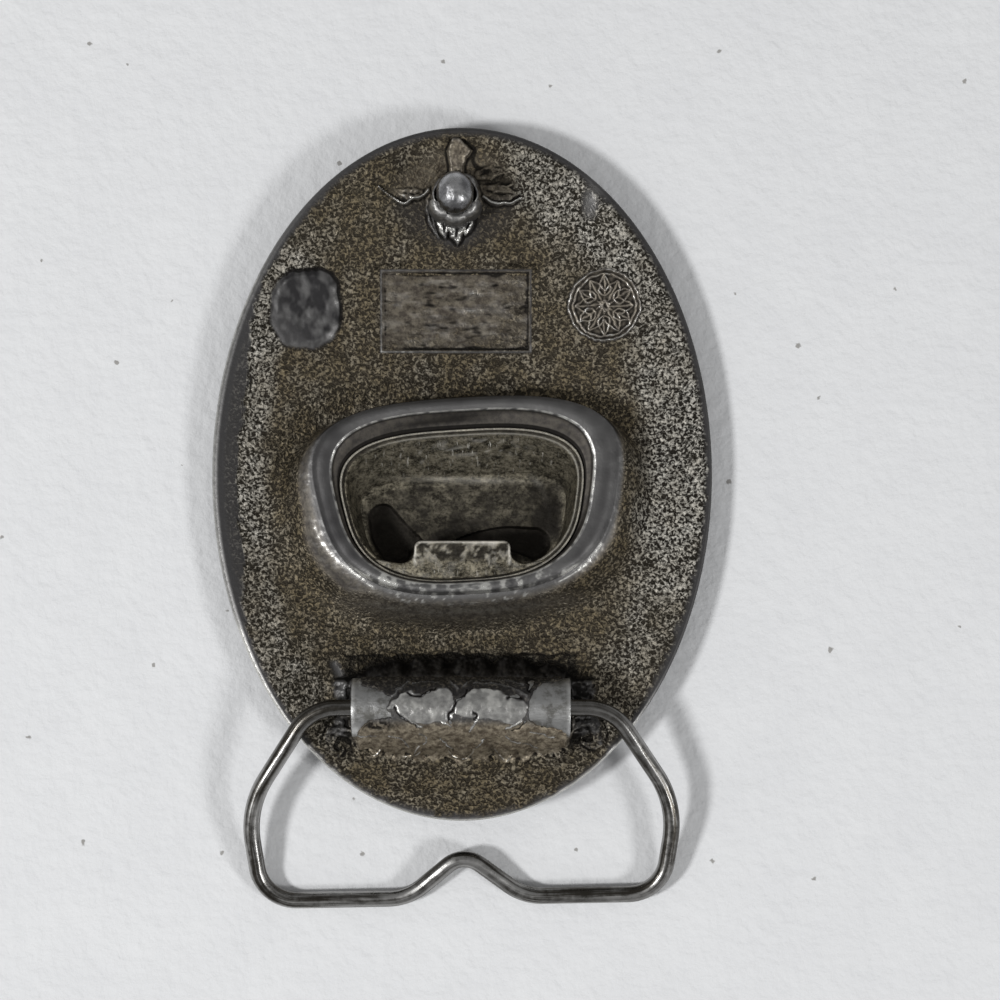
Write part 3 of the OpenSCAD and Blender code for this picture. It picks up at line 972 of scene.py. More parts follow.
@dataclass
class LabelPanel(ReliefPatch):
    """The bare label: a sunk, scuffed panel inside a thin raised frame."""

    frame_half: Pair = (9.6, 5.2)
    line: float = 0.13
    height: float = 0.2

    def _inside(self, x: Points, y: Points) -> Points:
        """Distance inside the frame's line, below zero outside it."""
        dx, dy = self.local(x, y)
        return np.minimum(self.frame_half[0] - np.abs(dx), self.frame_half[1] - np.abs(dy))

    def relief(self, x: Points, y: Points) -> Points:
        """A ridge along the frame, and the panel a little below the back."""
        inside = self._inside(x + 0.05 * wander(x, y, 3, 1), y + 0.05 * wander(x, y, 3, 2))
        worn = 0.75 + 0.25 * wander(x, y, 5, 4)
        ridge = self.height * worn * bell(inside, self.line)
        scuffs = 0.07 * crumb(0.4 * x, y, 1.4, 19)
        return ridge - (0.12 - scuffs) * between(inside, 0.2, 0.5)

    def skin(self, x: Points, y: Points, rise: Points) -> dict[str, Points]:
        """A brown panel with a faint grain under its scuffs and dirt in them, a painted shadow in its
        groove, and a frame line brightest on the left and at the bottom, partly as a painted highlight.
        """
        inside = self._inside(x, y)
        dx, dy = self.local(x, y)
        plain = between(inside, -0.1, 0.3)
        faint = 0.1 + 0.3 * between(dy, -2.0, -4.2) + 0.3 * between(dx, 3, 8)
        patchy = clamp(faint + 0.25 * wander(x, y, 3.4, 9))
        line = bell(inside, 0.16)
        # The frame line is brightest on the left and at the bottom: wear, and partly a painted highlight
        corner = between(x, 4, -9) * (0.5 + 0.5 * between(dy, 1, -5))
        edge = 0.12 + 0.5 * corner + 0.3 * between(dy, -4, -5)
        edge = line * edge * (0.8 + 0.4 * wander(x, y, 1.2, 8))
        scratched = 0.04 + 0.45 * crumb(0.3 * x, y, 0.9, 21)
        # A painted shadow in the groove inside the frame line
        groove = 0.09 * bell(inside - 0.32, 0.15) * between(x, -9, -6)
        scuffs = 0.08 * clamp(crumb(0.35 * x, y, 1.1, 20))
        return {
            "grain": self.plate.grain(x, y) * mix(1, patchy, plain) * (1 - line),
            "wear": scratched * plain + edge,
            "hollow": groove + scuffs * between(inside, 0.2, 0.5),
            "brown": 0.3 * plain,
        }


@dataclass
class RoundSeal(ReliefPatch):
    """Two raised rings round a plain rosette of six leaves with smaller ones between."""

    rings: Pair = (4.5, 3.95)
    petals: int = 6
    height: float = 0.24

    def _lines(self, x: Points, y: Points) -> Both:
        """Distance from the middle, and the raised lines of rings and rosette."""
        dx = x - self.centre[0] + 0.09 * wander(x, y, 1.3, 13) + 0.12 * wander(x, y, 4.0, 11)
        dy = y - self.centre[1] + 0.09 * wander(x, y, 1.3, 14) + 0.12 * wander(x, y, 4.0, 12)
        reach, turn = np.hypot(dx, dy), np.arctan2(dy, dx)
        lines = sum(bell(reach - r, 0.12) for r in self.rings)
        for offset, low, high, width in ((0.0, 0.5, 3.7, 0.95), (0.5, 1.3, 3.8, 0.75)):
            pitch = TURN / self.petals
            swing = (turn + (offset + 0.5) * pitch) % pitch - pitch / 2
            t = clamp((reach - low) / (high - low))
            side = np.abs(reach * np.sin(swing)) - width * np.sin(math.pi * t**0.8)
            petal = np.maximum(bell(side, 0.12), 0.5 * bell(reach * np.sin(swing), 0.1))
            lines = np.maximum(lines, petal * ((reach > low) & (reach < high)))
        return reach, np.maximum(lines, 0.8 * bell(reach - 0.4, 0.16))

    def relief(self, x: Points, y: Points) -> Points:
        """Heights of the rings and the rosette."""
        reach, lines = self._lines(x, y)
        return self.height * lines - 0.14 * (1 - between(reach, 3.9, 4.3))

    def skin(self, x: Points, y: Points, rise: Points) -> dict[str, Points]:
        """A dark brown ground inside the outer ring, under lines that are worn pale."""
        reach, lines = self._lines(x, y)
        inside = 1 - between(reach, 4.5, 4.9)
        low = between(self.local(x, y)[1], 1, -4)
        worn = lines * (0.5 + 0.2 * low + 0.4 * wander(x, y, 1.6, 18))
        ground = 1 - between(reach, 4.3, 4.8)
        return {
            "grain": self.plate.grain(x, y) * (1 - 0.95 * inside),
            "wear": inside * np.clip(0.1 + worn, 0.05, 1),
            "hollow": 0.035 * ground * (1 - between(lines, 0.1, 0.5)),
            "brown": 0.4 * ground,
        }


@dataclass
class OvalPad(ReliefPatch):
    """A flat oval pad, dark on top, whose low left side runs out into the pebbles."""

    pad: Pair = (4.45, 5.1)
    height: float = 0.36

    def _share(self, x: Points, y: Points) -> Points:
        """Distance from the pad's middle, 1 at its edge."""
        x = x + 0.2 * wander(x, y, 4.5, 15)
        y = y + 0.2 * wander(x, y, 4.5, 16)
        dx, dy = self.local(x, y)
        dx, dy = dx / self.pad[0], dy / self.pad[1]
        square = 2.4 + 1.2 * between(dx + dy, 0.2, 1.2)
        return (np.abs(dx) ** square + np.abs(dy) ** square) ** (1 / square)

    def _low(self, x: Points, y: Points) -> Points:
        """Where the pad slopes down to the grain around it."""
        return between(-sum(self.local(x, y)), 1.0, 6.0)

    def relief(self, x: Points, y: Points) -> Points:
        """A low table with a bevelled edge and a dished middle."""
        share = self._share(x, y)
        table = self.height * (1 - between(share, 0.8, 1.04)) * (1 - 0.45 * self._low(x, y))
        return table - 0.12 * (1 - between(share, 0.0, 0.8)) + 0.04 * wander(x, y, 1.8, 6)

    def skin(self, x: Points, y: Points, rise: Points) -> dict[str, Points]:
        """Smooth on top with rubbed patches, a painted highlight on its right and low bevel, wear along its
        left rim and low side, a painted shadow round its upper right foot, and dirt in its dish.
        """
        share = self._share(x, y)
        top = 1 - between(share, 0.95, 1.08)
        dx, dy = self.local(x, y)
        # A painted highlight on the right and low bevel
        bevel = np.maximum(between(dx - 0.3 * dy, 1.5, 4.5), 0.6 * between(-dy, 2.0, 4.5))
        worn = 0.1 + 0.34 * bevel * bell(share - 0.9, 0.09) + 0.36 * crumb(x, 0.6 * y, 1.6, 17)
        rim = 0.3 * bell(share - 1.0, 0.04) * between(-dx, 0, 3)
        # A painted shadow round the pad's upper right foot
        foot = 0.09 * bell(share - 1.0, 0.05) * between(dx + dy, 0, 4)
        dish = 0.07 * clamp(crumb(x, 0.6 * y, 2.4, 22)) * bell(share, 0.7)
        return {
            "grain": self.plate.grain(x, y) * (1 - top),
            "wear": top * np.maximum(worn, rim + 0.18 * self._low(x, y)),
            "hollow": foot + dish,
            "brown": np.zeros(len(x)),
        }


def from_stud(x: Points, y: Points) -> Both:
    """Places from the middle of the belt stud."""
    return x - STUD_X, y - STUD_Y


@dataclass
class StudLeafwork(ReliefPatch):
    """Leaves spread flat under the belt stud: one up, one down, and an arm to each side.

    Lift is how far they lie towards the plate's top from the stud's middle.
    """

    lift: float = 0.7

    def _leaves(self) -> list[Leaf]:
        """The leaves, placed from the middle of the stud."""
        table = (
            # start, bend, end, half-width, rise, lobes, vein
            ((0, -1.6), (0.1, -3.8), (0.15, -6.5), 1.9, 1.3, 1, 0.25),
            ((-0.9, -1.6), (-2.0, -3.4), (-1.2, -6.0), 1.4, 1.1, 1, 0.25),
            ((0.9, -1.6), (1.9, -3.2), (1.2, -5.6), 1.3, 1.1, 1, 0.25),
            ((-2.8, 0.4), (-4.1, -2.6), (-2.0, -6.0), 0.7, 0.55, 1, 0.3),
            ((-4.4, 0.2), (-6.0, -0.4), (-7.9, 0.6), 0.8, 0.4, 4, 0.4),
            ((3.4, 0.6), (6.0, -0.4), (8.2, 0.2), 1.3, 0.3, 3, 0.4),
            ((2.6, 2.2), (4.4, 3.0), (6.4, 2.6), 0.9, 0.3, 2, 0.3),
        )
        cy = STUD_Y + self.lift
        return [Leaf(*((STUD_X + p[0], cy + p[1]) for p in row[:3]), *row[3:]) for row in table]

    def _ridges(self) -> list[Stroke]:
        """Thin ridges along the two arms, from the middle of the stud."""
        table = (
            # points, half-width at the start and at the end
            (((-3.5, 0.4), (-4.3, -0.3), (-5.6, -0.6), (-6.4, -1.2), (-7.4, -1.0), (-9.9, 0.9)), 0.3, 0.15),
            (((3.5, -0.4), (4.6, -1.05), (5.8, -1.25), (7.3, -1.1), (8.4, -0.6)), 0.32, 0.2),
            (((4.9, 0.2), (5.7, 0.4), (6.8, 0.25), (7.8, -0.1)), 0.2, 0.14),
            (((5.4, 0.95), (6.3, 0.9), (7.3, 1.1)), 0.17, 0.12),
        )
        cy = STUD_Y + self.lift
        return [Stroke(tuple((STUD_X + x, cy + y) for x, y in row[0]), *row[1:]) for row in table]

    def relief(self, x: Points, y: Points) -> Points:
        """Heights of the leaves and of the collar that the stud stands in."""
        wx = x + 0.12 * wander(x, y, 2.2, 1)
        wy = y + 0.12 * wander(x, y, 2.2, 2)
        dx, dy = from_stud(x, y)
        collar = 1.7 * (1 - between(np.hypot(dx, dy), 1.9, 3.7))
        swell = 0.5 * bell(np.hypot(dx, dy + 3.6) / 2.6, 1.0)
        across = np.interp(dy, (2.4, 4.2, 6.1, 8.3), (0.1, 0.1, 0.45, -0.05))
        half = np.interp(dy, (2.4, 4.2, 6.1, 8.3), (1.1, 0.95, 1.75, 0.08))
        kite = 1 - between(np.abs(wx - STUD_X - across) / half, 0.7, 1.1)
        kite = 0.7 * kite * between(dy, 2.2, 2.6) * between(dy, 8.5, 8.1)
        leaves = np.maximum(leafwork(self._leaves(), wx, wy), kite)
        knobs = 0.16 * crumb(x, y, 1.3, 3) * between(leaves, 0.05, 0.4)
        ridges = 0.62 * crests(self._ridges()[:2], wx, wy) + 0.34 * crests(self._ridges()[2:], wx, wy)
        return np.maximum(np.maximum(leaves, collar), ridges) + knobs + swell

    def skin(self, x: Points, y: Points, rise: Points) -> dict[str, Points]:
        """Dark, smooth ground between the leaves; the low leaf and the ridges shine.

        A painted shadow lies along the right of the upper leaf, and painted shadow with dark stains
        over the right arm; the upper leaf and its ground are brown.
        """
        dx, dy = from_stud(x, y)
        near = 1 - between(np.hypot(dx / 9.0, dy / 7.0), 0.7, 1.1)
        raised = between(rise, 0.05, 0.4)
        low = between(dy, -1.4, -2.2) * between(np.abs(dx), 3.0, 2.0) * between(rise, 0.4, 1.1)
        low = low * (0.55 + 0.6 * crumb(x, y, 1.0, 29))
        ridge = crests(self._ridges()[:2], x, y)
        knobs = spot(dx, dy, (-6.4, 0.4), (1.9, 0.8)) * (0.5 + 0.6 * wander(x, y, 0.9, 30))
        # The painted shadow that the upper leaf casts along its right
        turns = ((-0.1, 7.8), (1.0, 6.7), (2.4, 5.6), (2.2, 4.2), (2.9, 3.2), (4.0, 2.8))
        lifted = dy - self.lift
        leaf_shadow = 0.12 * crests([Stroke(turns, 0.26, 0.5)], dx, lifted)
        upper = 1 - between(np.hypot(dx / 9.0, dy / 8.0), 0.8, 1.1)
        # The spot over the right arm is painted shadow of the stud's head, with dark stains
        return {
            "grain": self.plate.grain(x, y) * (1 - 0.5 * near) * (1 - 0.8 * raised),
            "wear": clamp(0.16 * near * raised + 0.8 * low + 0.75 * ridge + 0.7 * knobs),
            "hollow": leaf_shadow + 0.05 * spot(dx, lifted, (5.4, 1.6), (3.2, 1.7)),
            "brown": 0.5 * upper * between(dy, -1.5, 1.5),
        }


@dataclass(frozen=True)
class Petal:
    """One leaf of the calyx: its place round the stud in degrees, and how far foot and tip stand out."""

    angle: float
    width: float
    top: float
    foot: float
    lean: float

    def mesh(self, across: int = 12, along: int = 16, thickness: float = 0.8) -> BMesh:
        """Shapes the leaf: cupped round the neck, its tip rolled outwards."""
        bm = grid_skin(across, along)
        for vert in bm.verts:
            s, t = vert.co.x * 2 - 1, vert.co.y
            wide = self.width * (1.05 + 0.35 * math.sin(math.pi * t)) * (1 - 0.8 * t**5)
            reach = self.foot + (self.lean - self.foot) * t**1.5
            reach += 0.3 * (1 - s * s) * math.sin(math.pi * t)
            reach += 0.3 * abs(math.sin(math.radians(self.angle)))
            turn = s * wide / reach + math.radians(self.angle)
            lift = 0.5 + (self.top - 0.5) * math.sin(t * 1.9) / math.sin(1.55)
            vert.co = (reach * math.cos(turn), reach * math.sin(turn), lift)
        bmesh.ops.solidify(bm, geom=bm.faces[:], thickness=thickness)
        bmesh.ops.recalc_face_normals(bm, faces=bm.faces[:])
        return bm


@dataclass(frozen=True)
class Calyx:
    """Eight small leaves that stand round the stud's neck and hold its head."""

    petals: tuple[Petal, ...] = (
        # angle, width, top, foot, lean
        Petal(4, 1.15, 4.0, 2.7, 2.6),
        Petal(49, 0.9, 3.4, 3.2, 1.95),
        Petal(94, 1.0, 3.4, 3.0, 1.95),
        Petal(139, 0.85, 3.4, 2.9, 1.95),
        Petal(176, 1.15, 4.0, 2.7, 2.6),
        Petal(220, 1.2, 3.8, 3.6, 1.95),
        Petal(270, 1.2, 3.7, 3.5, 1.95),
        Petal(318, 1.2, 3.8, 3.4, 1.95),
    )

    def build(self, plate: PlateForm, material: Material) -> Object:
        """Makes the ring of leaves."""
        base = float(plate.back(STUD_X, STUD_Y))
        whole = bmesh.new()
        for petal in self.petals:
            leaf = petal.mesh()
            bmesh.ops.translate(leaf, verts=leaf.verts[:], vec=(STUD_X, STUD_Y, base))
            scratch = bpy.data.meshes.new("leaf")
            leaf.to_mesh(scratch)
            leaf.free()
            whole.from_mesh(scratch)
            bpy.data.meshes.remove(scratch)

        def shape(mesh: Mesh) -> None:
            """Paints the worn tips, with painted highlights on the left and right petals, painted light over
            all the petals against their own shade, and painted shade at their feet.
            """
            x, y, z = coordinates(mesh).T
            ear_highlights = between(np.abs(x - STUD_X), 2.9, 3.5)
            worn = between(z, base + 1.2, base + 3.2) * (0.75 + 0.3 * wander(x, y + z, 1.0, 27))
            shade = 0.03 * between(z, base + 1.0, base + 0.3)
            # The base wear of 0.45 is painted light against the calyx's own shade; the hollow is painted
            # shade
            paint(mesh, grain=0.0, wear=clamp(0.45 + (0.4 + 0.3 * ear_highlights) * worn), rub=0.5, hollow=shade)

        return finish_piece(
            "stud_calyx", whole, material, sharp=70, closed=False, shape=shape
        )


@dataclass
class SaddleLeafwork(ReliefPatch):
    """The leafwork saddle that carries the hinge tube and drapes to the plate.

    Its foot stands as far as reach from the tube's axis.
    """

    axis_y: float = -29.8
    axis_z: float = 8.7
    tube_radius: float = 3.7
    reach: float = 7.3

    def _ridge(self, x: Points) -> Points:
        """Height of the saddle along the tube, as a share."""
        places = (-17.2, -14.5, -12.1, -8.3, -0.3, 8.1, 12.4, 15.1, 17.8)
        shares = (0.0, 0.25, 0.62, 0.95, 1.0, 0.97, 0.64, 0.25, 0.0)
        return np.interp(x, places, shares)

    def _ground(self, x: Points, y: Points) -> Points:
        """Height of the bare saddle over the back of the plate."""
        away = y - self.axis_y
        ridge = self._ridge(x)
        wave = 0.4 * np.sin(x * 1.15 + 0.6) + 0.3 * np.sin(x * 2.3 + 2.0)
        side = np.where(away > 0, 0.9, 1.0)
        foot = self.reach * side * (0.45 + 0.55 * ridge) + wave * ridge
        top = self.axis_z - 0.5 + 0.9 * between(-away, 1, 3) - self.plate.back(x, y)
        slope = 1 - between(np.abs(away), 3.1, np.maximum(foot, 3.6))
        return top * ridge * slope

    def _drapes(self) -> list[Leaf]:
        """Leaves that drape over both sides."""
        table = (
            # place, lean, half-width, side
            (-12.0, -2.0, 1.9, -1), (-8.4, -1.4, 2.4, -1), (-4.6, 1.2, 2.2, -1), (-0.6, 0.4, 2.4, -1),
            (3.4, 1.2, 2.2, -1), (7.4, -1.0, 2.4, -1), (11.4, 1.8, 2.0, -1),
            (-12.6, -1.8, 2.0, 1), (-8.4, 1.0, 2.4, 1), (-4.2, -1.2, 2.3, 1), (0.2, 1.0, 2.4, 1),
            (4.4, -1.0, 2.3, 1), (8.6, 1.0, 2.4, 1), (12.4, 1.6, 2.0, 1),
        )
        # Of the near side and the far one: how far a leaf reaches from the axis, and its rise
        sides = {-1: (7.6, 0.34), 1: (6.9, 0.1)}
        leaves = []
        for x, lean, half_width, side in table:
            reach, rise = sides[side]
            top = self.axis_y + side * 3.2
            bend, tip = (x - lean * 0.7, top + side * 2.0), (x + lean, self.axis_y + side * reach)
            leaves.append(Leaf((x, top), bend, tip, half_width, rise, 2, 0.5))
        return leaves

    def _curls(self) -> list[Leaf]:
        """Scrolls at both ends of the saddle."""
        table = (
            # centre, outer end, half-width, turns
            ((-15.6, -34.7), (-13.6, -36.0), 0.9, 1.1),
            ((15.9, -33.6), (13.7, -35.4), 0.9, -1.1),
        )
        return [
            Curl(centre, centre, outer, half_width, 0.5, 2, 0.1, turns=turns)
            for centre, outer, half_width, turns in table
        ]

    def _lines(self) -> list[Stroke]:
        """Thin raised lines on the near side, as places from the axis."""
        table = (
            ((1.9, -4.7), (1.0, -6.3), (0.1, -6.6)),
            ((-2.3, -4.3), (-1.3, -6.0), (-0.4, -6.5)),
            ((8.2, -4.4), (9.6, -5.6), (11.3, -6.7), (12.5, -6.0)),
            ((12.5, -5.0), (13.2, -6.2), (14.6, -6.5), (16.2, -6.3)),
            ((3.1, -4.2), (4.4, -5.6), (5.6, -6.8), (6.3, -6.3)),
            ((-5.2, -5.6), (-6.1, -6.2), (-7.6, -6.3)),
            ((-8.0, -3.9), (-9.6, -4.6), (-10.8, -6.0), (-12.2, -6.2)),
            ((-4.2, -4.1), (-5.4, -4.9), (-6.0, -5.9)),
        )
        return [Stroke(tuple((x, self.axis_y + v) for x, v in row), 0.17, 0.13) for row in table]

    def relief(self, x: Points, y: Points) -> Points:
        """The saddle with its leaves, cut away round the wire and under the tube."""
        wx = x + 0.22 * wander(x, y, 2.6, 7)
        wy = y + 0.22 * wander(x, y, 2.6, 8)
        ground = self._ground(x, y)
        work = leafwork(self._drapes(), wx, wy) + leafwork(self._curls(), wx, wy)
        fine = 0.2 * crumb(x, y, 1.3, 33)
        rise = ground + work + 0.24 * crests(self._lines(), wx, wy)
        rise = rise + fine * between(ground + work, 0.1, 0.5)
        away = np.abs(y - self.axis_y)
        back = self.plate.back(x, y)
        wire = self.axis_z - np.sqrt(np.maximum(1.75**2 - away**2, 0)) - back
        tube = self.axis_z - np.sqrt(np.maximum(self.tube_radius**2 - away**2, 0)) - 0.1 - back
        outside = np.abs(x) > 14.0
        rise = np.where(outside & (away < 1.75), np.minimum(rise, wire), rise)
        return np.where(~outside & (away < self.tube_radius), np.minimum(rise, tube), rise)

    def skin(self, x: Points, y: Points, rise: Points) -> dict[str, Points]:
        """Brown and finely rough, with a few worn lines; the far side carries a painted shadow of the tube.
        """
        raised = between(rise, 0.1, 0.6)
        near = between(y, self.axis_y + 1, self.axis_y - 2)
        lines = crests(self._lines(), x, y)
        slope = crests([Stroke(((-16.3, -24.4), (-15.4, -26.2), (-15.0, -28.0)), 0.8, 1.3)], x, y)
        knob = spot(x, y, (-15.9, -36.9), (0.5, 0.5))
        sides = 1 - 0.8 * between(np.abs(x), 13, 14.5)
        wear = (0.1 + 0.3 * near * sides) * raised + 0.5 * lines * sides + 0.4 * slope + 0.8 * knob
        return {
            "grain": self.plate.grain(x, y) * (1 - 0.85 * raised) * (1 - slope),
            "wear": clamp(wear),
            "hollow": self._soot_and_shadow(x, y - self.axis_y),
            "brown": 0.8 * near * between(np.abs(x), 15, 12.5),
        }

    def _soot_and_shadow(self, x: Points, away: Points) -> Points:
        """Painted shadow of the tube on the far side, painted shade round the tube's ends and in the gaps
        there, darker round the scrolls, and dark stains in the worn leaves.
        """
        foot = 6.5 + 0.3 * wander(x, 0 * x, 4.5, 38)
        # The tube's painted shadow: a dark band on the far side with a crisp edge at its foot
        far = 0.066 * between(away, 2.6, 3.4) * between(foot - away, 0, 0.3)
        line = 0.12 * bell(away - foot, 0.16)
        inner = between(np.abs(x + 0.2), 15.4, 14.4)
        # Painted shade round the tube's ends and in the gaps beside them
        ends = spot(x, away, (15.4, 2.4), (1.6, 2.6))
        gap = bell(np.abs(x) - 14.4, 0.5) * between(np.abs(away), 5.0, 3.8)
        curls = spot(np.abs(x), away, (15.6, -4.4), (2.0, 2.2))
        stains = clamp(crumb(x, away + self.axis_y, 1.6, 39)) * between(away, -1, -3)
        clean = 0.05 * between(away, -4.5, -6.0) * between(np.abs(x), 14.5, 13.0)
        return (far + line) * inner + 0.08 * ends + 0.1 * gap + 0.045 * curls + 0.035 * stains - clean


@dataclass(frozen=True)
class TubeLaps:
    """The casting's leaf tips that lap over the middle of the hinge tube, worn flat on top.

    They go round it by far_turn degrees on the far side. On the near side they leave its round
    at leave degrees, and run down to near_reach along their surface.
    """

    axis_y: float
    axis_z: float
    radius: float
    half_length: float = 13.4
    far_turn: float = 105.0
    near_reach: float = 8.4
    leave: float = 62.0
    pitch: float = 0.1

    @staticmethod
    def _lenses(x: Points, v: Points) -> Points:
        """Distance inside the two worn flats, below zero outside them."""
        left_x = (-9.1, -8.4, -7.3, -6.2, -4.8, -3.0, -1.5, -0.95)
        right_x = (-0.75, 0.4, 1.4, 3.2, 5.0, 6.4, 7.6, 8.4)
        left_top = (0.2, 1.0, 1.9, 2.2, 1.6, 2.5, 2.6, 1.6)
        left_low = (0.15, -0.1, -1.1, -1.6, -2.0, -1.7, -1.6, -1.2)
        right_top = (0.5, 1.6, 2.4, 2.6, 2.1, 1.3, 1.0, 0.3)
        right_low = (-0.7, -1.1, -1.2, -1.2, -1.6, -2.1, -1.5, 0.1)
        left = (x > left_x[0]) & (x < left_x[-1])
        right = (x > right_x[0]) & (x < right_x[-1])
        top = np.where(left, np.interp(x, left_x, left_top), np.interp(x, right_x, right_top))
        low = np.where(left, np.interp(x, left_x, left_low), np.interp(x, right_x, right_low))
        return np.where(left | right, np.minimum(top - v, v - low), -1.0)

    @staticmethod
    def _sheath(x: Points, v: Points) -> Points:
        """Distance inside the stretch that the casting covers, below zero on the bare tube."""
        left_v = (-4.2, -3.2, -2.2, -1.6, -1.0, 0.2, 1.4, 2.2, 3.4)
        left_x = (-13.0, -12.7, -12.3, -11.6, -8.7, -9.2, -8.7, -9.8, -12.6)
        right_v = (-4.0, -3.0, -2.4, -1.4, 1.0, 2.0, 3.8, 4.4)
        right_x = (13.2, 12.6, 9.9, 8.5, 8.5, 9.0, 10.2, 12.6)
        left, right = np.interp(v, left_v, left_x), np.interp(v, right_v, right_x)
        return np.minimum(x - left, right - x)

    def _work(self) -> tuple[list[Stroke], list[Stroke]]:
        """Dark clefts and bright ridges, as places along and round the tube."""
        clefts = (
            # points, half-width at the start and at the end
            (((0.6, 1.9), (-0.4, 1.0), (-0.9, 0.1), (-1.6, -0.8), (-1.2, -1.9)), 0.2, 0.26),
            (((-6.6, 1.9), (-5.4, 1.5), (-4.4, 1.9), (-3.1, 2.7)), 0.22, 0.14),
            (((-8.3, 0.0), (-6.9, -1.4), (-5.3, -2.5)), 0.16, 0.2),
            (((8.6, 4.2), (8.6, 3.1), (8.6, 2.0)), 0.95, 0.12),
            (((5.8, 1.3), (6.7, 1.65), (7.6, 1.35)), 0.28, 0.36),
            (((1.6, -0.5), (1.9, -0.8), (1.7, -1.4)), 0.26, 0.12),
            (((8.0, -1.7), (7.4, -2.5), (6.4, -3.0)), 0.14, 0.14),
            (((10.0, -2.5), (10.8, -2.2), (11.6, -2.6)), 0.2, 0.14),
            (((0.4, 1.5), (0.7, 2.4)), 0.22, 0.12),
        )
        ridges = (
            (((-9.4, 0.7), (-8.5, 1.6), (-7.4, 2.6)), 0.2, 0.14),
            (((-8.1, 0.3), (-6.7, -1.1), (-5.0, -2.3)), 0.15, 0.15),
            (((-2.4, -1.5), (-1.2, -2.3)), 0.2, 0.14),
            (((1.1, -3.0), (2.2, -1.0)), 0.13, 0.18),
            (((5.6, -2.7), (6.6, -2.0), (7.5, -1.4)), 0.14, 0.3),
            (((1.6, 3.5), (4.0, 3.4), (6.4, 2.7), (8.2, 1.5)), 0.16, 0.16),
            (((-8.0, 2.4), (-6.4, 3.8)), 0.15, 0.15),
            (((-1.4, 3.9), (-0.4, 2.5)), 0.16, 0.16),
            (((1.3, 4.1), (0.3, 2.7)), 0.16, 0.16),
            (((2.6, 4.2), (5.6, 4.1), (7.7, 3.2)), 0.14, 0.14),
            (((-6.0, 3.4), (-4.2, 3.9), (-2.6, 3.5)), 0.14, 0.14),
            (((-2.6, -5.0), (-1.9, -6.4), (-1.2, -7.6)), 0.12, 0.16),
            (((2.9, -5.0), (2.4, -6.4), (1.9, -7.4)), 0.12, 0.18),
            (((-5.2, -3.4), (-4.4, -4.6), (-4.6, -6.4)), 0.12, 0.12),
            (((5.6, -4.0), (6.6, -5.6), (8.0, -6.2), (9.6, -7.8)), 0.14, 0.14),
            (((-9.0, -4.2), (-7.4, -5.0), (-6.6, -7.0)), 0.12, 0.12),
            (((-13.0, -2.6), (-12.8, -3.6), (-12.2, -4.2), (-10.6, -4.2)), 0.16, 0.1),
            (((8.6, -3.2), (10.2, -3.4), (11.6, -4.6)), 0.12, 0.12),
        )
        return [Stroke(*row) for row in clefts], [Stroke(*row) for row in ridges]

    def _relief(self, x: Points, v: Points) -> tuple[Points, Points, Points]:
        """Height over the tube, wear and depth of the clefts."""
        wx = x + 0.14 * wander(x, v, 1.6, 11)
        wv = v + 0.14 * wander(x, v, 1.6, 12)
        clefts, ridges = self._work()
        cover = between(self._sheath(wx, wv), -0.08, 0.12)
        flat = between(self._lenses(wx, wv), -0.12, 0.15)
        dug = crests(clefts, wx, wv)
        raised = crests(ridges, wx, wv)
        fine = 0.14 * crumb(x, 0.55 * v, 1.3, 35)
        fine += 0.16 * crumb(x, 0.5 * v, 2.4, 32) * between(v, -2, -3)
        rough = np.maximum(0.16 + fine, 0.1) + 0.14 * raised
        height = mix(-0.3, mix(rough, 0.3 + 0.02 * wander(x, v, 1.5, 37), flat) - 0.24 * dug, cover)
        height -= 0.45 * between(v, 0.8 - self.near_reach, -self.near_reach)
        shine = 0.8 + 0.14 * clamp(crumb(x, v, 1.6, 40))
        wear = cover * np.maximum(shine * flat, 0.85 * raised + 0.3 * between(v, 2, 0))
        return height, wear * (1 - dug), 0.11 * dug * cover

    def build(self, material: Material) -> Object:
        """Makes the lapped stretch."""
        far, leave = math.radians(self.far_turn) * self.radius, math.radians(self.leave)
        across = int(2 * self.half_length / self.pitch)
        along = int((far + self.near_reach) / self.pitch)

        def shape(mesh: Mesh) -> None:
            """Wraps the grid round the tube, lets it run down to the saddle and raises it."""
            unit = coordinates(mesh)
            x = (unit[:, 0] - 0.5) * 2 * self.half_length
            v = mix(-self.near_reach, far, unit[:, 1])
            height, wear, dug = self._relief(x, v)
            turn, r = v / self.radius, self.radius + height
            cover = between(self._sheath(x, v), -0.4, 0.3)
            past = np.maximum(-turn - leave, 0) * cover
            turn = turn + past
            y = r * np.sin(turn) - past * self.radius * math.cos(leave)
            z = r * np.cos(turn) - past * self.radius * math.sin(leave)
            co = np.stack([x, self.axis_y + y, self.axis_z + z], 1)
            move(mesh, co)
            paint(mesh, grain=(0.15 + 0.2 * between(v, 2, 4)) * (1 - between(wear, 0.3, 0.6)))
            paint(mesh, wear=wear, rub=0.2)
            patch = spot(x, v, (-10.4, -2.2), (2.2, 0.9))
            patch *= 1 - clamp(2 * crumb(x, v, 0.8, 42) + 0.1)
            stains = 0.05 * clamp(crumb(x, 0.5 * v, 1.6, 39)) * between(v, -1.5, -3)
            paint(mesh, hollow=dug + 0.035 * between(v, 2.8, 4.0) + 0.12 * patch + stains)
            paint(mesh, brown=0.9 * between(-v, 1.2, 2.6) * (1 - between(wear, 0.35, 0.7)))

        return finish_piece(
            "tube_laps",
            grid_skin(across, along),
            material,
            sharp=180,
            closed=False,
            shape=shape,
        )


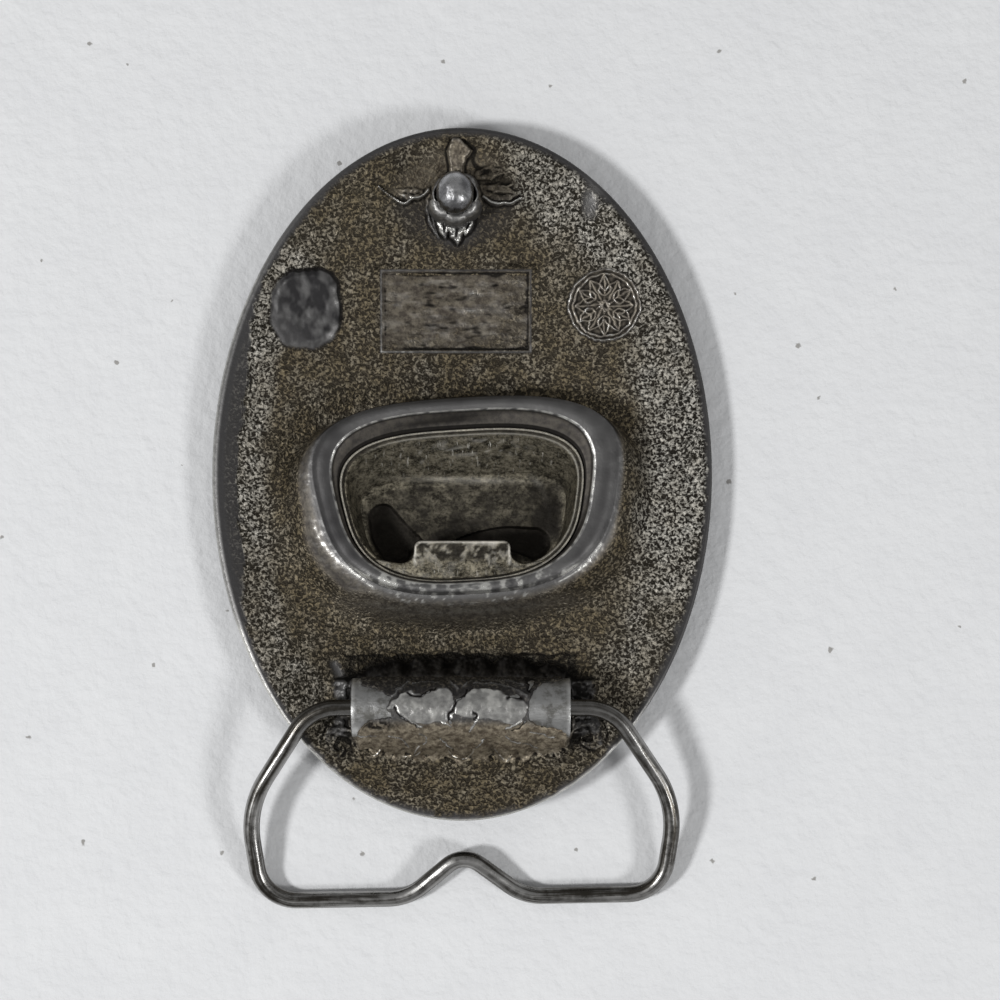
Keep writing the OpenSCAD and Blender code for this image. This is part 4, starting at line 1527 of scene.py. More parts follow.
@dataclass(frozen=True)
class CastPlate:
    """The casting's main shell: plate, border, field, mound, rim and the cup's seat.

    Count is the number of points round each ring, and foot the outline of the mound.
    """

    form: PlateForm
    mouth: Mouth
    count: int = 420
    edge_round: float = 0.5
    field_drop: float = 0.1
    foot: Oval = Oval(49.3, 31.3, (0.2, -5.5), 3.4, 0.85, 0.85, 0.05)

    def _front(self, ring: Points, lift: float = 0.0) -> Points:
        """A ring laid on the front."""
        return level(ring, self.form.front(ring[:, 0], ring[:, 1]) + lift)

    def _back(self, ring: Points, lift: Points | float = 0.0) -> Points:
        """A ring laid on the back."""
        return level(ring, self.form.back(ring[:, 0], ring[:, 1]) + lift)

    def _edge(self) -> list[Points]:
        """From the front's flat out round the plate's edge to the smooth border."""
        n = self.count
        flat = Oval(2 * self.form.flat_radius, 2 * self.form.flat_radius).ring(n)
        rim = self.form.outline(self.edge_round).ring(n)
        rings = [self._front(mix(flat, rim, t)) for t in np.linspace(0.1, 1, 10)]
        for k in range(1, 5):
            turn = math.pi / 2 * k / 4
            inset = self.edge_round * (1 - math.sin(turn))
            lift = self.edge_round * (1 - math.cos(turn))
            rings.append(self._front(self.form.outline(inset).ring(n), lift))
        wide = mix(0.55, 1.0, self.form.left(rim[:, 0], rim[:, 1]))[:, None]
        outer, within = self.form.outline(0).ring(n), self.form.outline(1).ring(n)
        for inset, lift in ((0, -0.72), (0.1, -0.45), (0.34, -0.2), (0.7, -0.02), (0.9, 0.0)):
            ring = mix(outer, within, inset * wide)
            rings.append(self._back(ring, lift * wide[:, 0]))
        for inset in (1.3, 1.8, 2.3):
            rings.append(self._back(self.form.outline(inset).ring(n), -0.02 * (inset - 0.9)))
        return rings

    def _field(self) -> list[Points]:
        """Over the pebbled field to the foot of the mound."""
        outer = self.form.outline(self.form.border + self.form.chamfer).ring(self.count)
        foot = self.foot.ring(self.count)
        return [
            self._back(mix(outer, foot, t), -self.field_drop * between(t, 0, 0.12))
            for t in np.linspace(0, 1, 37)
        ]

    def _mound(self) -> list[Points]:
        """Up the mound to the rim; its upper side hollows out before the rim."""
        foot, rim = self.foot.ring(self.count), self.mouth.rim(1).ring(self.count)
        angle = np.arange(self.count) * TURN / self.count
        hollow = 1 + 1.1 * clamp(np.sin(angle)) ** 2
        rings = []
        for t in np.linspace(0, 1, 25)[1:]:
            ring = mix(foot, rim, t)
            base = self.form.back(ring[:, 0], ring[:, 1]) - self.field_drop * (1 - t)
            rings.append(level(ring, mix(base, self.mouth.rim_z - 0.8, ease(t) ** hollow)))
        return rings

    def _rim(self) -> list[Points]:
        """Over the smooth rim and down its inner wall to the cup's seat."""
        n, z = self.count, self.mouth.rim_z
        keys = [
            level(self.mouth.rim(share).ring(n), z - drop)
            for share, drop in ((1, 0.8), (0.72, 0.18), (0.42, 0.0), (0.08, 0.1))
        ]
        lip = level(self.mouth.oval().grown(-0.1, -0.1).ring(n), z - 0.3)
        wall = level(self.mouth.oval().grown(-0.5, -0.5).ring(n), z - 0.62)
        seat = level(self.mouth.cup(0.1).ring(n), z - 1.0)
        low = level(self.mouth.floor(1.1).ring(n), 0.8)
        rings = through(keys, 6) + [lip] + through([lip, wall], 5)
        rings += [mix(wall, seat, t) for t in (0.25, 0.5, 0.75, 0.92, 1)]
        return rings + [mix(seat, low, t) for t in (0.25, 0.5, 0.75, 1)]

    def _highlight_strokes(self) -> list[Stroke]:
        """The two bright lines along the rim's lower corners: painted highlights, partly wear."""
        return [
            Stroke(((-18.9, -6.4), (-17.5, -9.3), (-15.2, -11.6), (-13.1, -13.3), (-11.1, -14.8)), 0.2, 0.3),
            Stroke(((17.7, -9.2), (16.0, -11.4), (14.0, -13.0), (12.0, -14.2)), 0.3, 0.2),
        ]

    def build(self, patches: Sequence[ReliefPatch], material: Material) -> Object:
        """Makes the shell, low where a patch of relief covers it."""
        n = self.count
        flat = Oval(2 * self.form.flat_radius, 2 * self.form.flat_radius).ring(n)
        parts = [[level(flat, 0.0)], self._edge(), self._field(), self._mound(), self._rim()]
        for ring in parts[1][-5:] + parts[2]:
            for patch in patches:
                ring[:, 2] -= 0.5 * between(patch.depth(ring[:, 0], ring[:, 1]), 0.7, 1.1)
        starts = np.cumsum([len(p) for p in parts])
        # The rings at which the bright edge and the back begin
        edge, back = starts[0] + 14, starts[1] - 6
        rings = [ring for part in parts for ring in part]
        shell = Shell(rings[0]).grow(rings[1:]).close()
        # The bright rings of the rounded edge: wear, and a painted highlight where the edge is lit
        bright = (0.8, 0.85, 0.75, 0.3)
        rise = np.linspace(0, 1, len(parts[3]))
        below = len(parts[4]) - 20
        grain_by_ring = np.concatenate(
            [
                np.zeros(back),
                np.ones(len(parts[2]) + 6),
                1 - 0.35 * between(rise, 0.8, 1.0),
                np.linspace(0.65, 0, 7),
                np.zeros(len(parts[4]) - 7),
            ]
        )
        wear_by_ring = np.concatenate(
            [
                np.full(edge, 0.45),
                bright,
                np.full(starts[2] - edge - len(bright), 0.12),
                0.12 + 0.2 * between(rise, 0.7, 1.0),
                np.linspace(0.34, 0.4, 17),
                [0.75, 0.8, 0.3],
                np.full(below, 0.1),
            ]
        )

        def shape(mesh: Mesh) -> None:
            """Paints grain and wear by ring and by place, with painted highlights on the edge and the rim's
            lower corners, painted light on the mound's low side and a painted shadow above the rim.
            """
            ring = numbers(mesh, "ring")
            x, y, _ = coordinates(mesh).T
            smooth_spot = spot(x, y, (16.4, 34.6), (1.3, 2.6))
            past = ring - starts[3]
            above = between(y, 1, 6) * between(past, -9, -6)
            grain = grain_by_ring[ring] * np.where(ring >= back, self.form.grain(x, y), 0)
            # The edge's painted highlight is strongest on its left and low sides, where the lamps light it
            low_side = np.maximum(between(y, -24, -34), between(y, -12, -22) * (x < 0))
            edge_highlight_side = np.maximum(self.form.left(x, y), 1.35 * low_side)
            on_edge = (ring >= edge) & (ring < edge + len(bright))
            wear = wear_by_ring[ring] * np.where(on_edge, 0.3 + 0.7 * edge_highlight_side, 1)
            on_rim = between(past, -3, 2) * between(past, 18, 16)
            # Painted highlights on the rim's lower corners, partly wear, and the rim made lighter or darker
            # by side as painted light
            corners = 0.6 * spot(x, y, (-13.8, -13.2), (3.6, 3.6))
            corners += 0.55 * spot(x, y, (14.6, -12.6), (3.6, 3.6))
            corners *= bell(past - 1.0, 4.0)
            corners -= 0.12 * spot(np.abs(x - 0.3), y, (16.5, -8.5), (3.0, 3.0))
            corners += 0.14 * between(y, 2, 7) + 0.36 * between(y, -11, -14)
            corners += 0.4 * between(y, -11.5, -13.5) * crumb(x, y, 1.1, 5)
            corners -= 0.2 * between(x, -10, -16) + 0.06 * between(x, 10, 16) + 0.04 * between(y, 0, 5)
            wear += on_rim * (corners + 0.1 * wander(x, y, 4.0, 23))
            lip = bell(past - 18.2, 1.1) * (1 - 0.7 * between(y, -10, -13))
            wear += lip * (0.15 + 0.4 * wander(x, y, 1.6, 24))
            # The mound runs up smooth to the rim on the left, and at the foot of its corners
            smooth_from = -2 - 5 * between(x, -11, -15) * between(y, 7, 1) - 2 * between(y, -5, -9)
            smooth = between(past, smooth_from - 4, smooth_from) * between(past, 9, 4)
            dots = clamp(3 * crumb(x, y, 0.6, 51) - 1.0) * bell(past + 5, 5)
            # Painted highlight lines along the rim's lower corners
            highlight_lines = crests(self._highlight_strokes(), x, y) * between(past, -12, -8)
            # Painted light: the low side of the mound is made paler and smoother to lift it out of its shade
            low = between(y, -14, -17) * bell(past + 10, 9)
            wear += smooth * (0.04 + 0.44 * dots) + 0.66 * highlight_lines + 0.62 * low
            grain *= (1 - smooth) * (1 - 0.7 * low) * (1 - highlight_lines)
            paint(mesh, grain=grain * (1 - smooth_spot) * (1 - above))
            paint(mesh, wear=clamp(wear + 0.5 * smooth_spot))
            # Paler pebble tops at the rim's low foot, also painted light
            foot = 0.5 * between(y, -12, -15)
            paint(mesh, rub=self.form.rub(x, y) + (0.04 + foot) * bell(past - 2, 7.0))
            wall = between(past, 19, 21)
            inner = between(self.form.inset(x, y), 4, 7) * between(past, -2, -5)
            paint(mesh, brown=0.15 * wall + 0.5 * inner * (1 - 0.6 * smooth) * (ring > starts[1]))
            joint = 0.12 * between(past, 26, 27)
            # A painted shadow on the mound just outside the rim's upper side
            stain = 0.09 * bell(past + 4.5, 3.2) * between(y, 2, 6)
            streaks = np.clip(wander(1.3 * past, 0.12 * (x + y), 3.1, 25), -0.4, 1)
            paint(mesh, hollow=joint + stain + wall * (0.045 + 0.04 * streaks))

        return finish_piece(
            "cast_plate", shell.bm, material, replaces="plate_casting", sharp=50, shape=shape
        )


@dataclass(frozen=True)
class OpenerCup:
    """The pressed cup of the opener, with the ledge and tongue that catch a cap.

    Tongue_reach is how far the tongue stands past the notches, and ledge its thickness. Count
    and ledge_count are the points round each ring of the cup and round the ledge's outline.
    """

    mouth: Mouth
    tongue_width: float = 12.2
    tongue_reach: float = 2.85
    ledge: float = 1.8
    rim_drop: float = 0.9
    floor_z: float = 1.9
    notch_below: float = 8.4
    tongue_x: float = 0.1
    corner: float = 0.9
    fillet: float = 1.6
    notch_rise: float = 1.7
    ease_by: float = 0.26
    pitch: float = 0.35
    count: int = 300
    ledge_count: int = 160

    def _cup_rings(self) -> list[Points]:
        """From under the floor, up the outside, over the edge and down the inside."""
        n, top = self.count, self.mouth.rim_z - self.rim_drop
        below = level(self.mouth.floor(1.0).ring(n), self.floor_z - 1)
        outside = level(self.mouth.cup(0).ring(n), top - 0.15)
        edge = level(self.mouth.cup(-0.1).ring(n), top)
        step = [
            level(self.mouth.cup(-inset).ring(n), top - drop)
            for inset, drop in ((0.28, 0), (0.42, 0.38), (0.56, 0.42), (0.76, 0.36))
        ]
        throat = level(self.mouth.cup(-0.9).ring(n), top - 0.5)
        knee = level(self.mouth.floor(0.25).ring(n), self.floor_z + 0.38)
        sole = level(self.mouth.floor(-0.5).ring(n), self.floor_z)
        rings = [mix(below, outside, t) for t in np.linspace(0, 1, 8)]
        rings += [edge, *step] + [mix(throat, knee, t) for t in np.linspace(0, 1, 26)]
        rings += [mix(knee, sole, ease(t)) for t in (0.35, 0.7, 1.0)]
        middle = np.array([*self.mouth.floor(0).centre, self.floor_z])
        return rings + [mix(sole, middle, t) for t in np.linspace(0, 0.97, 44)[1:]]

    def _shadowed_pockets(self) -> list[Stroke]:
        """The two hollows beside the tongue, painted near black as the deep shade under the ledge."""
        return [
            Stroke(((-10.2, -5.7), (-9.7, -7.9), (-8.6, -9.6)), 1.75, 2.1),
            Stroke(((-10.1, -5.5), (-8.1, -7.4), (-5.9, -9.1)), 1.6, 1.0),
            Stroke(((-0.9, -8.7), (1.8, -8.3), (5.4, -8.2), (9.2, -8.9)), 0.15, 2.0),
        ]

    def _cup(self, material: Material) -> Object:
        """The sloping shell and its floor."""
        rings = self._cup_rings()
        shell = Shell(rings[0]).grow(rings[1:]).close()

        def shape(mesh: Mesh) -> None:
            """Dents the metal a little, sinks the two hollows and paints stains and scuffs, painted shade in
            the hollows, the groove and on the floor, and painted highlights along the edge and the crease.
            """
            co = coordinates(mesh)
            x, y, _ = co.T
            ring = numbers(mesh, "ring")
            inside = between(ring, 13, 17)
            crease = bell(y + 0.02 * x - self.mouth.centre[1] - 2.35, 0.36) * bell(x + 0.3, 6.5) * inside
            # The pockets are sunk a little and painted near black: painted shade
            dark = pools(self._shadowed_pockets(), x, y) * between(co[:, 2], 6.0, 4.5) * inside
            dents = 0.06 * wander(x, y, 3.1, 21) + 0.03 * wander(x, y, 1.1, 22)
            co[:, 2] += inside * dents + 0.2 * crease - 0.55 * dark
            move(mesh, co)
            slope = between(y, -1.0, 1.2) * inside
            scuffed = spot(x, y, (1.8, 3.3), (4.2, 0.9))
            scratch = crests([Stroke(((-5.7, 4.6), (-5.3, 2.4), (-4.9, 0.4)), 0.12, 0.08)], x, y) * inside
            arc = bell(np.hypot(x - 7.2, (y + 5.4) * 0.75) - 4.0, 0.35) * between(x, 8, 10) * inside
            paint(mesh, rub=slope * (0.6 + 0.9 * scuffed))
            # The bright lines along the edge, the step, the crease and the knee's arc are painted
            # highlights, partly wear; the scratch and the glints are scuffs
            second = 0.5 * bell(ring - 12, 0.7) * between(x + y, -12, -2)
            worn = 0.3 * crease + 0.2 * arc + 0.5 * bell(ring - 8.5, 0.7) + 0.4 * scratch + second
            glints = clamp(2 * crumb(x, y, 0.9, 26) - 0.3)
            paint(mesh, wear=clamp(worn + scuffed * glints * inside))
            # Painted shade on the floor, in the groove beside the edge, on the knee's lit side and at the
            # right end, with mottled stains
            shade = 0.03 + between(ring, 37, 41) * (0.08 + 0.05 * between(y, -3.5, -7.5))
            shade += 0.3 * bell(ring - 10.5, 0.8) + 0.07 * between(x, 8, 10.5) * between(ring, 30, 36)
            shade += 0.1 * spot(x, y, (12.3, -4.2), (1.0, 3.0)) * inside
            shade += 0.075 * between(ring, 41, 45) + 0.07 * np.clip(crumb(x, y, 2.2, 44), -0.4, 1) * inside
            paint(mesh, hollow=0.4 * dark + 0.3 * between(ring, 8, 6.5) + shade)

        return finish_piece(
            "opener_cup", shell.bm, material, replaces="opener_cup", sharp=38, shape=shape
        )

    def _round_notches(self, bm: BMesh, notch_y: float) -> None:
        """Bends the ledge's edge up to the cup's wall on both sides, so each notch is round."""
        wings = [e for e in bm.edges if all(abs(v.co.y - notch_y) < SAME_PLACE for v in e.verts)]
        spans = []
        for wing in wings:
            corner, inner = sorted(wing.verts, key=lambda v: -abs(v.co.x))
            rim = next(e for e in corner.link_edges if e is not wing).other_vert(corner)
            way = (corner.co - rim.co).normalized() * self.notch_rise
            spans.append((inner.co.x, corner.co.x, way))
        bmesh.ops.bisect_edges(bm, edges=wings, cuts=7)
        for vert in [v for v in bm.verts if abs(v.co.y - notch_y) < SAME_PLACE]:
            for start, end, way in spans:
                share = (vert.co.x - start) / (end - start)
                if 0 < share < 1.001:
                    vert.co += way * share**2
                    break

    def _ledge(self, material: Material) -> Object:
        """The ledge across the cup's low side, with its tongue between two notches."""
        notch_y = self.mouth.centre[1] - self.notch_below
        top = self.mouth.rim_z - self.rim_drop - 0.2
        bm = bmesh.new()
        outline = self.mouth.cup(-0.45).ring(self.ledge_count)
        made = bmesh.ops.create_circle(bm, cap_ends=True, segments=len(outline), radius=1)["verts"]
        for vert, place in zip(made, outline):
            vert.co = (*place, top)
        cut = bmesh.ops.bisect_plane(
            bm,
            geom=bm.verts[:] + bm.edges[:] + bm.faces[:],
            plane_co=(0, notch_y, 0),
            plane_no=(0, 1, 0),
            clear_outer=True,
        )
        brow = max((e for e in cut["geom_cut"] if isinstance(e, BMEdge)), key=lambda e: e.calc_length())
        left, right = sorted(brow.verts, key=lambda v: v.co.x)
        ends = (self.tongue_x - self.tongue_width / 2, self.tongue_x + self.tongue_width / 2)
        span = right.co.x - left.co.x
        first = bmesh.utils.edge_split(brow, left, (ends[0] - left.co.x) / span)[1]
        rest = next(e for e in first.link_edges if right in e.verts)
        second = bmesh.utils.edge_split(rest, first, (ends[1] - ends[0]) / (right.co.x - ends[0]))[1]
        base = next(e for e in first.link_edges if second in e.verts)
        tips, _ = extruded(bm, [base])
        bmesh.ops.translate(bm, verts=tips, vec=(0, self.tongue_reach, 0))
        bmesh.ops.dissolve_edges(bm, edges=[base], use_verts=False)
        even = {"offset_type": "OFFSET", "profile": 0.5, "material": -1}
        for verts, size in ((tips, self.corner), ([first, second], self.fillet)):
            bmesh.ops.bevel(bm, geom=verts, offset=size, affect="VERTICES", segments=6, **even)
        self._round_notches(bm, notch_y)
        for face in bm.faces:
            if face.normal.z < 0:
                face.normal_flip()
        lid = bm.faces[:]
        under = bmesh.ops.extrude_face_region(bm, geom=lid)["geom"]
        lower = [v for v in under if isinstance(v, BMVert)]
        bmesh.ops.translate(bm, verts=lower, vec=(0, 0, -self.ledge))
        for vert in lower:
            if vert.co.y < notch_y - 0.6:
                vert.co.y += 0.75
                vert.co.x *= 0.93
        bmesh.ops.recalc_face_normals(bm, faces=bm.faces[:])
        rims = [
            e
            for e in bm.edges
            if all(abs(v.co.z - top) < SAME_PLACE for v in e.verts) and e.calc_face_angle(0) > 0.5
        ]
        bmesh.ops.bevel(bm, geom=rims, offset=self.ease_by, affect="EDGES", segments=4, **even)
        bmesh.ops.triangulate(bm, faces=[f for f in bm.faces if len(f.verts) > 4])
        cuts = [((x, 0, 0), (1, 0, 0)) for x in np.arange(-11.93, 12, self.pitch)]
        cuts += [((0, y, 0), (0, 1, 0)) for y in np.arange(notch_y - 2.83, notch_y + 3, self.pitch)]
        for place, way in cuts:
            whole = bm.verts[:] + bm.edges[:] + bm.faces[:]
            bmesh.ops.bisect_plane(bm, geom=whole, plane_co=place, plane_no=way)

        def shape(mesh: Mesh) -> None:
            """Knocks the top a little uneven and paints the edge that levers the caps."""
            co = coordinates(mesh)
            x, y, z = co.T
            tip = notch_y + self.tongue_reach
            aside = np.abs(x - self.tongue_x) - self.tongue_width / 2
            beyond = np.maximum(y - tip, aside)
            edge = bell(beyond + 0.12, 0.2) * between(y, notch_y - 0.3, notch_y + 0.1)
            tongue = between(y, notch_y - 0.2, notch_y + 0.9)
            spots = clamp(1.8 * crumb(x, y, 1.0, 28))
            marks = crests([Stroke(((1.8, -9.1), (4.4, -9.2)), 0.3, 0.3)], x, y)
            shade = 0.01 + 0.24 * tongue * (1 - edge) * (1 - spots) * (1 - marks)
            worn = clamp(0.65 * edge + spots * (0.12 + 0.1 * tongue) + 0.2 * marks)
            paint(mesh, wear=worn, rub=0.3, hollow=shade)
            flat = z > top - 0.01
            co[:, 2] += flat * (0.07 * np.clip(crumb(x, y, 1.2, 28), -1, 1) * (1 - edge) - 0.05)
            move(mesh, co)

        return finish_piece("catch_ledge", bm, material, sharp=60, shape=shape)

    def build(self, material: Material) -> list[Object]:
        """Makes the cup and its ledge."""
        return [self._cup(material), self._ledge(material)]


@dataclass(frozen=True)
class HingeTube:
    """The plain tube that the bail turns in, with the lowest and highest corner of its solid."""

    low: Vector
    high: Vector
    bore: float = 1.12
    count: int = 96
    bevel: float = 0.16

    @property
    def radius(self) -> float:
        """Outer radius."""
        return (self.high.z - self.low.z) / 2

    @property
    def axis(self) -> Pair:
        """Place and height of its axis."""
        return (self.high.y + self.low.y) / 2, (self.high.z + self.low.z) / 2

    def _ring(self, x: float, radius: float) -> Points:
        """A ring round the axis."""
        turn = np.arange(self.count) * TURN / self.count
        y, z = self.axis
        return np.stack([np.full(self.count, x), y + radius * np.cos(turn), z + radius * np.sin(turn)], 1)

    def build(self, material: Material) -> Object:
        """Makes the tube, hollow all through, with eased ends."""
        left, right, r, b = self.low.x, self.high.x, self.radius, self.bevel
        stations = [(left, self.bore + b), (left, r - b), (left + 0.3 * b, r - 0.3 * b)]
        stations += [(x, r) for x in np.linspace(left + b, right - b, 60)]
        stations += [(right - 0.3 * b, r - 0.3 * b), (right, r - b), (right, self.bore + b)]
        stations += [(x, self.bore) for x in np.linspace(right - b, left + b, 12)]
        stations += [stations[0]]
        rings = [self._ring(x, radius) for x, radius in stations]
        shell = Shell(rings[0]).grow(rings[1:]).weld()

        def shape(mesh: Mesh) -> None:
            """Presses a few shallow dents into the tube."""
            co = coordinates(mesh)
            y, z = self.axis
            reach = np.hypot(co[:, 1] - y, co[:, 2] - z)
            turn = np.arctan2(co[:, 1] - y, co[:, 2] - z)
            outer = reach > r - 0.01
            corner = spot(co[:, 0], co[:, 1] - y, (-13.2, -2.9), (0.7, 0.8))
            paint(mesh, wear=outer * np.maximum(0.6 * between(np.abs(co[:, 0]), 13.3, 13.6), corner))
            dent = 0.035 * (wander(co[:, 0], turn * r, 3.4, 31) - 0.6) * outer
            scale = (reach + np.minimum(dent, 0)) / reach
            co[:, 1] = y + (co[:, 1] - y) * scale
            co[:, 2] = z + (co[:, 2] - z) * scale
            move(mesh, co)

        return finish_piece(
            "hinge_tube", shell.bm, material, replaces="hinge_tube", sharp=35, shape=shape
        )


@dataclass(frozen=True)
class BeltStud:
    """The ball-headed stud, turned in one piece with its neck, and the corners of its solid."""

    low: Vector
    high: Vector
    neck: float = 1.25

    def build(self, material: Material) -> Object:
        """Makes the stud by turning half its outline once round."""
        x, y = (self.low.x + self.high.x) / 2, (self.low.y + self.high.y) / 2
        radius = (self.high.x - self.low.x) / 2
        stretch = (self.high.y - self.low.y) / 2 - radius
        middle = self.high.z - radius
        foot = math.acos(self.neck / radius)
        profile = [(0.0, self.low.z), (self.neck, self.low.z)]
        profile += [
            (radius * math.cos(a), middle + radius * math.sin(a))
            for a in np.linspace(-foot, math.pi / 2 - 0.001, 30)
        ]
        bm = bmesh.new()
        verts = [bm.verts.new((x + r, y, z)) for r, z in profile]
        edges = [bm.edges.new(pair) for pair in zip(verts, verts[1:])]
        bmesh.ops.spin(
            bm, geom=verts + edges, cent=(x, y, 0), axis=(0, 0, 1), angle=TURN, steps=64, use_merge=True
        )

        def shape(mesh: Mesh) -> None:
            """Draws the ball out along the buckle and knocks it a little out of round."""
            co = coordinates(mesh)
            way = co - np.array([x, y, middle])
            head = between(co[:, 2], middle - 1.5, middle - 0.5)
            flat = 1 - 0.012 * head * (1 + wander(co[:, 0] * 2, co[:, 1] * 2 + co[:, 2], 3.0, 41))
            co = np.array([x, y, middle]) + way * flat[:, None]
            co[:, 1] += stretch * head * np.sign(np.round(way[:, 1], 3))
            move(mesh, co)

        return finish_piece(
            "belt_stud", bm, material, replaces="belt_stud", sharp=40, shape=shape
        )


@dataclass(frozen=True)
class WireBail:
    """The bail: one wire, bent by arcs, whose two ends turn in the hinge tube.

    Axis is the middle of the hinge axis, reach the way from there to the far wire, skew how much
    further its left end lies than its right end, and dip the depth of the dip in the far wire.
    """

    axis: Vector
    radius: float = 1.05
    half_width: float = 27.2
    reach: float = 25.5
    skew: float = 1.0
    dip: float = 6.1
    start: float = 4.5
    rest_gap: float = 0.05
    sides: int = 28
    step: float = 0.55

    def corners(self) -> list[tuple[Vector, float]]:
        """Corners of the whole bail and the radius of each, the hinge axis along X."""
        wide, far_x, far = self.half_width, self.half_width - 1.7, self.reach
        table = (
            (wide - 8.3, 0, 6), (wide, 13.1, 13), (far_x, far, 5), (7.9, far, 7), (0.2, far - self.dip, 3.1),
            (-6.9, far, 7), (-far_x, far, 5), (-wide, 13.1, 13), (8.3 - wide, 0, 6),
        )
        lean = self.skew / 2 / far / far_x
        bent = [(Vector((x, y * (1 - lean * x), 0)), radius) for x, y, radius in table]
        return [(Vector((self.start, 0, 0)), 0.0), *bent, (Vector((-self.start, 0, 0)), 0.0)]

    def _moves(self) -> list[tuple[Matrix, float]]:
        """The steps of the sweep along straights and bends, and the length of each."""
        moves: list[tuple[Matrix, float]] = []
        corners = self.corners()
        here = corners[0][0]
        for i in range(1, len(corners)):
            point, radius = corners[i]
            way = (point - here).normalized()
            setback, turn = 0.0, 0.0
            if i < len(corners) - 1:
                onward = (corners[i + 1][0] - point).normalized()
                turn = math.atan2(way.cross(onward).z, way.dot(onward))
                setback = radius * math.tan(abs(turn) / 2)
            length = (point - here).length - setback
            steps = max(1, round(length / (2.5 * self.step)))
            moves += [(Matrix.Translation(way * length / steps), length / steps)] * steps
            here = point - way * setback
            if turn:
                side = Vector((-way.y, way.x, 0)) * math.copysign(1, turn)
                centre = here + side * radius
                steps = max(3, round(abs(turn) * radius / self.step))
                bend = (
                    Matrix.Translation(centre)
                    @ Matrix.Rotation(turn / steps, 4, "Z")
                    @ Matrix.Translation(-centre)
                )
                moves += [(bend, abs(turn) * radius / steps)] * steps
                here = centre + Matrix.Rotation(turn, 3, "Z") @ (here - centre)
        return moves

    def build(self, material: Material) -> Object:
        """Sweeps the wire out of a circle, and tilts it down to the floor."""
        bm = bmesh.new()
        along_layer = bm.verts.layers.float.new("along")
        station = bm.verts.layers.int.new("station")
        place = Matrix.Translation((self.start, 0, 0)) @ Matrix.Rotation(math.pi / 2, 4, "Y")
        made = bmesh.ops.create_circle(
            bm, cap_ends=False, segments=self.sides, radius=self.radius, matrix=place
        )["verts"]
        for i, vert in enumerate(made):
            vert[station] = i
        edges, done = bm.edges[:], 0.0
        for step, length in self._moves():
            verts, edges = extruded(bm, edges)
            bmesh.ops.transform(bm, matrix=step, verts=verts)
            done += length
            for vert in verts:
                vert[along_layer] = done
        bmesh.ops.holes_fill(bm, edges=[e for e in bm.edges if e.is_boundary], sides=0)
        furthest = self.reach + self.skew / 2
        tilt = math.asin((self.axis.z - self.radius - self.rest_gap) / furthest)
        bmesh.ops.transform(
            bm,
            verts=bm.verts[:],
            matrix=Matrix.Translation(self.axis)
            @ Matrix.Rotation(tilt, 4, "X")
            @ Matrix.Scale(-1, 4, Vector((0, 1, 0))),
        )

        def shape(mesh: Mesh) -> None:
            """Notes each vertex's place round and along the wire, for the drawn lines."""
            along = numbers(mesh, "along", float)
            turn = numbers(mesh, "station") * TURN / self.sides
            lay = np.stack([self.radius * np.cos(turn), self.radius * np.sin(turn), along * 0.035], 1)
            found = mesh.attributes.new("lay", "FLOAT_VECTOR", "POINT")
            found.data.foreach_set("vector", lay.astype(np.float32).ravel())
            mesh.attributes.remove(mesh.attributes["along"])
            paint(mesh, wear=mix(0.5, 1, between(-coordinates(mesh)[:, 1], 30.5, 36)))

        return finish_piece(
            "wire_bail", bm, material, body=BAIL_BODY, replaces="bail", sharp=60, shape=shape
        )


class Lamp(Enum):
    """The two soft lamps: direction they shine from, elevation, power and size in metres."""

    MAIN = (198.0, 49.0, 5.8, 0.15)
    SECOND = (331.0, 40.0, 3.1, 0.2)


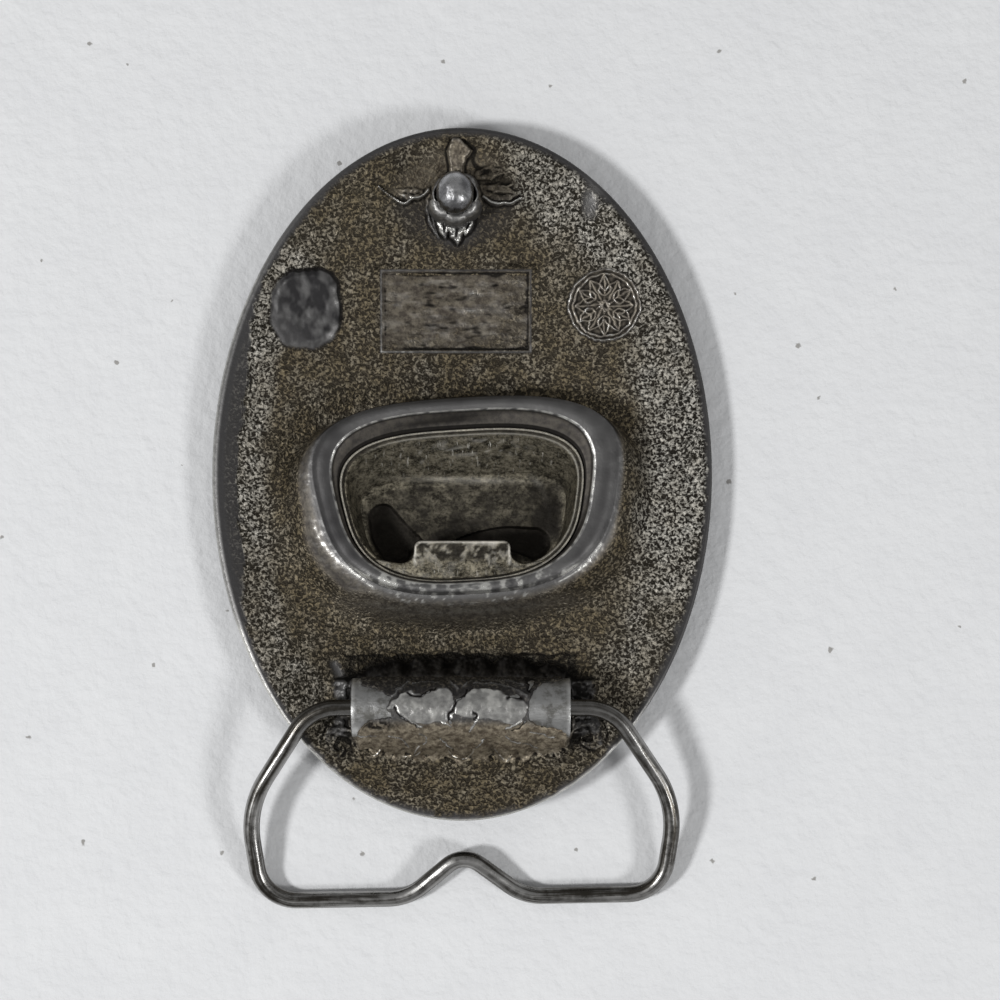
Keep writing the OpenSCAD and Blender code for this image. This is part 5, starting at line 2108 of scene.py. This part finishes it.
@dataclass(frozen=True)
class Studio:
    """A pale table, two soft lamps and the camera that looks down on the back.

    Aim is the place on the table in the picture's middle, in millimetres, as distance is. Tilt
    is the camera's lean from straight down, towards the bail, and lens is for a 36 mm sensor.
    """

    aim: Pair = (4.87, -3.27)
    tilt: float = 2.72
    distance: float = 352.0
    lens: float = 98.04
    table: float = 4.0
    lamp_distance: float = 1.0
    ambient: float = 0.3

    def _table(self) -> None:
        """The table that the buckle lies on."""
        bm = bmesh.new()
        bmesh.ops.create_grid(bm, x_segments=1, y_segments=1, size=self.table / 2)
        mesh = bpy.data.meshes.new("table_top")
        bm.to_mesh(mesh)
        bm.free()
        mesh.materials.append(PlasterTable().material())
        table = new_object("table_top", mesh)

    def _hang(self, holder: Object, place: Vector, way: Vector) -> None:
        """Puts a lamp or camera in its place and turns its back to the way."""
        holder.location = place
        holder.rotation_mode = "QUATERNION"
        holder.rotation_quaternion = way.to_track_quat("Z", "Y")

    def _lamps(self) -> None:
        """Soft lamps low on both sides of the bail's end."""
        for lamp in Lamp:
            bearing, height, power, size = lamp.value
            light = bpy.data.lights.new("lamp_" + lamp.name.lower(), "AREA")
            light.shape = "DISK"
            light.size = size
            light.energy = power
            a, e = math.radians(bearing), math.radians(height)
            way = Vector((math.cos(a) * math.cos(e), math.sin(a) * math.cos(e), math.sin(e)))
            self._hang(new_object(light.name, light), way * self.lamp_distance, way)

    def _room(self) -> None:
        """Even grey light from the room."""
        world = bpy.data.worlds.new("room")
        world.use_nodes = True
        world.node_tree.nodes.clear()
        white = {"Color": (1, 1, 1, 1), "Strength": self.ambient}
        glow = add_node(world.node_tree, "Background", white)
        add_node(world.node_tree, "OutputWorld", {}, {"Surface": glow})
        bpy.context.scene.world = world

    def _camera(self) -> None:
        """The camera, leaning a little towards the bail."""
        camera = bpy.data.cameras.new("camera")
        camera.lens = self.lens
        camera.sensor_width = 36
        camera.clip_start, camera.clip_end = 0.01, 20
        holder = new_object("camera", camera)
        lean = math.radians(self.tilt)
        back = Vector((0, -math.sin(lean), math.cos(lean)))
        self._hang(holder, (Vector((*self.aim, 0)) + back * self.distance) * MM, back)
        bpy.context.scene.camera = holder

    def build(self) -> None:
        """Sets up the whole studio."""
        self._table()
        self._lamps()
        self._room()
        self._camera()
        bpy.context.scene.view_settings.view_transform = "Standard"


def main() -> None:
    """Builds and dresses every piece, then the studio."""
    logging.basicConfig(level=logging.INFO, format="%(name)s %(message)s")
    low, high = node_box("plate_casting")
    plate = PlateForm(high.x - low.x, high.y - low.y)
    mouth = Mouth()
    pewter = CastPewter().material()
    steel = PressedSteel().material()
    tube = HingeTube(*node_box("hinge_tube"))
    axis_y, axis_z = tube.axis
    patches = [
        LabelPanel("label_panel", (-0.8, 20.9), (11.2, 6.8), 0.11, plate),
        RoundSeal("round_seal", (18.3, 21.6), (6.0, 6.0), 0.09, plate),
        OvalPad("oval_pad", (-20.1, 21.1), (6.2, 6.8), 0.14, plate),
        StudLeafwork("stud_leafwork", (-0.8, 34.4), (11.0, 8.9), 0.1, plate),
        SaddleLeafwork(
            "saddle_leafwork",
            (0.3, axis_y - 0.6),
            (20.0, 10.0),
            0.11,
            plate,
            burnish=0.2,
            axis_y=axis_y,
            axis_z=axis_z,
            tube_radius=tube.radius,
        ),
    ]
    CastPlate(plate, mouth).build(patches, pewter)
    for patch in patches:
        patch.build(pewter)
    Calyx().build(plate, pewter)
    TubeLaps(axis_y, axis_z, tube.radius).build(pewter)
    OpenerCup(mouth).build(steel)
    tube.build(WornTube().material())
    BeltStud(STUD_LOW, STUD_HIGH).build(PolishedStud().material())
    hinge = Vector(frame["joints"][0]["pos_m"]) / MM
    WireBail(hinge).build(DrawnWire().material())
    Studio().build()


if __name__ == "__main__":
    main()
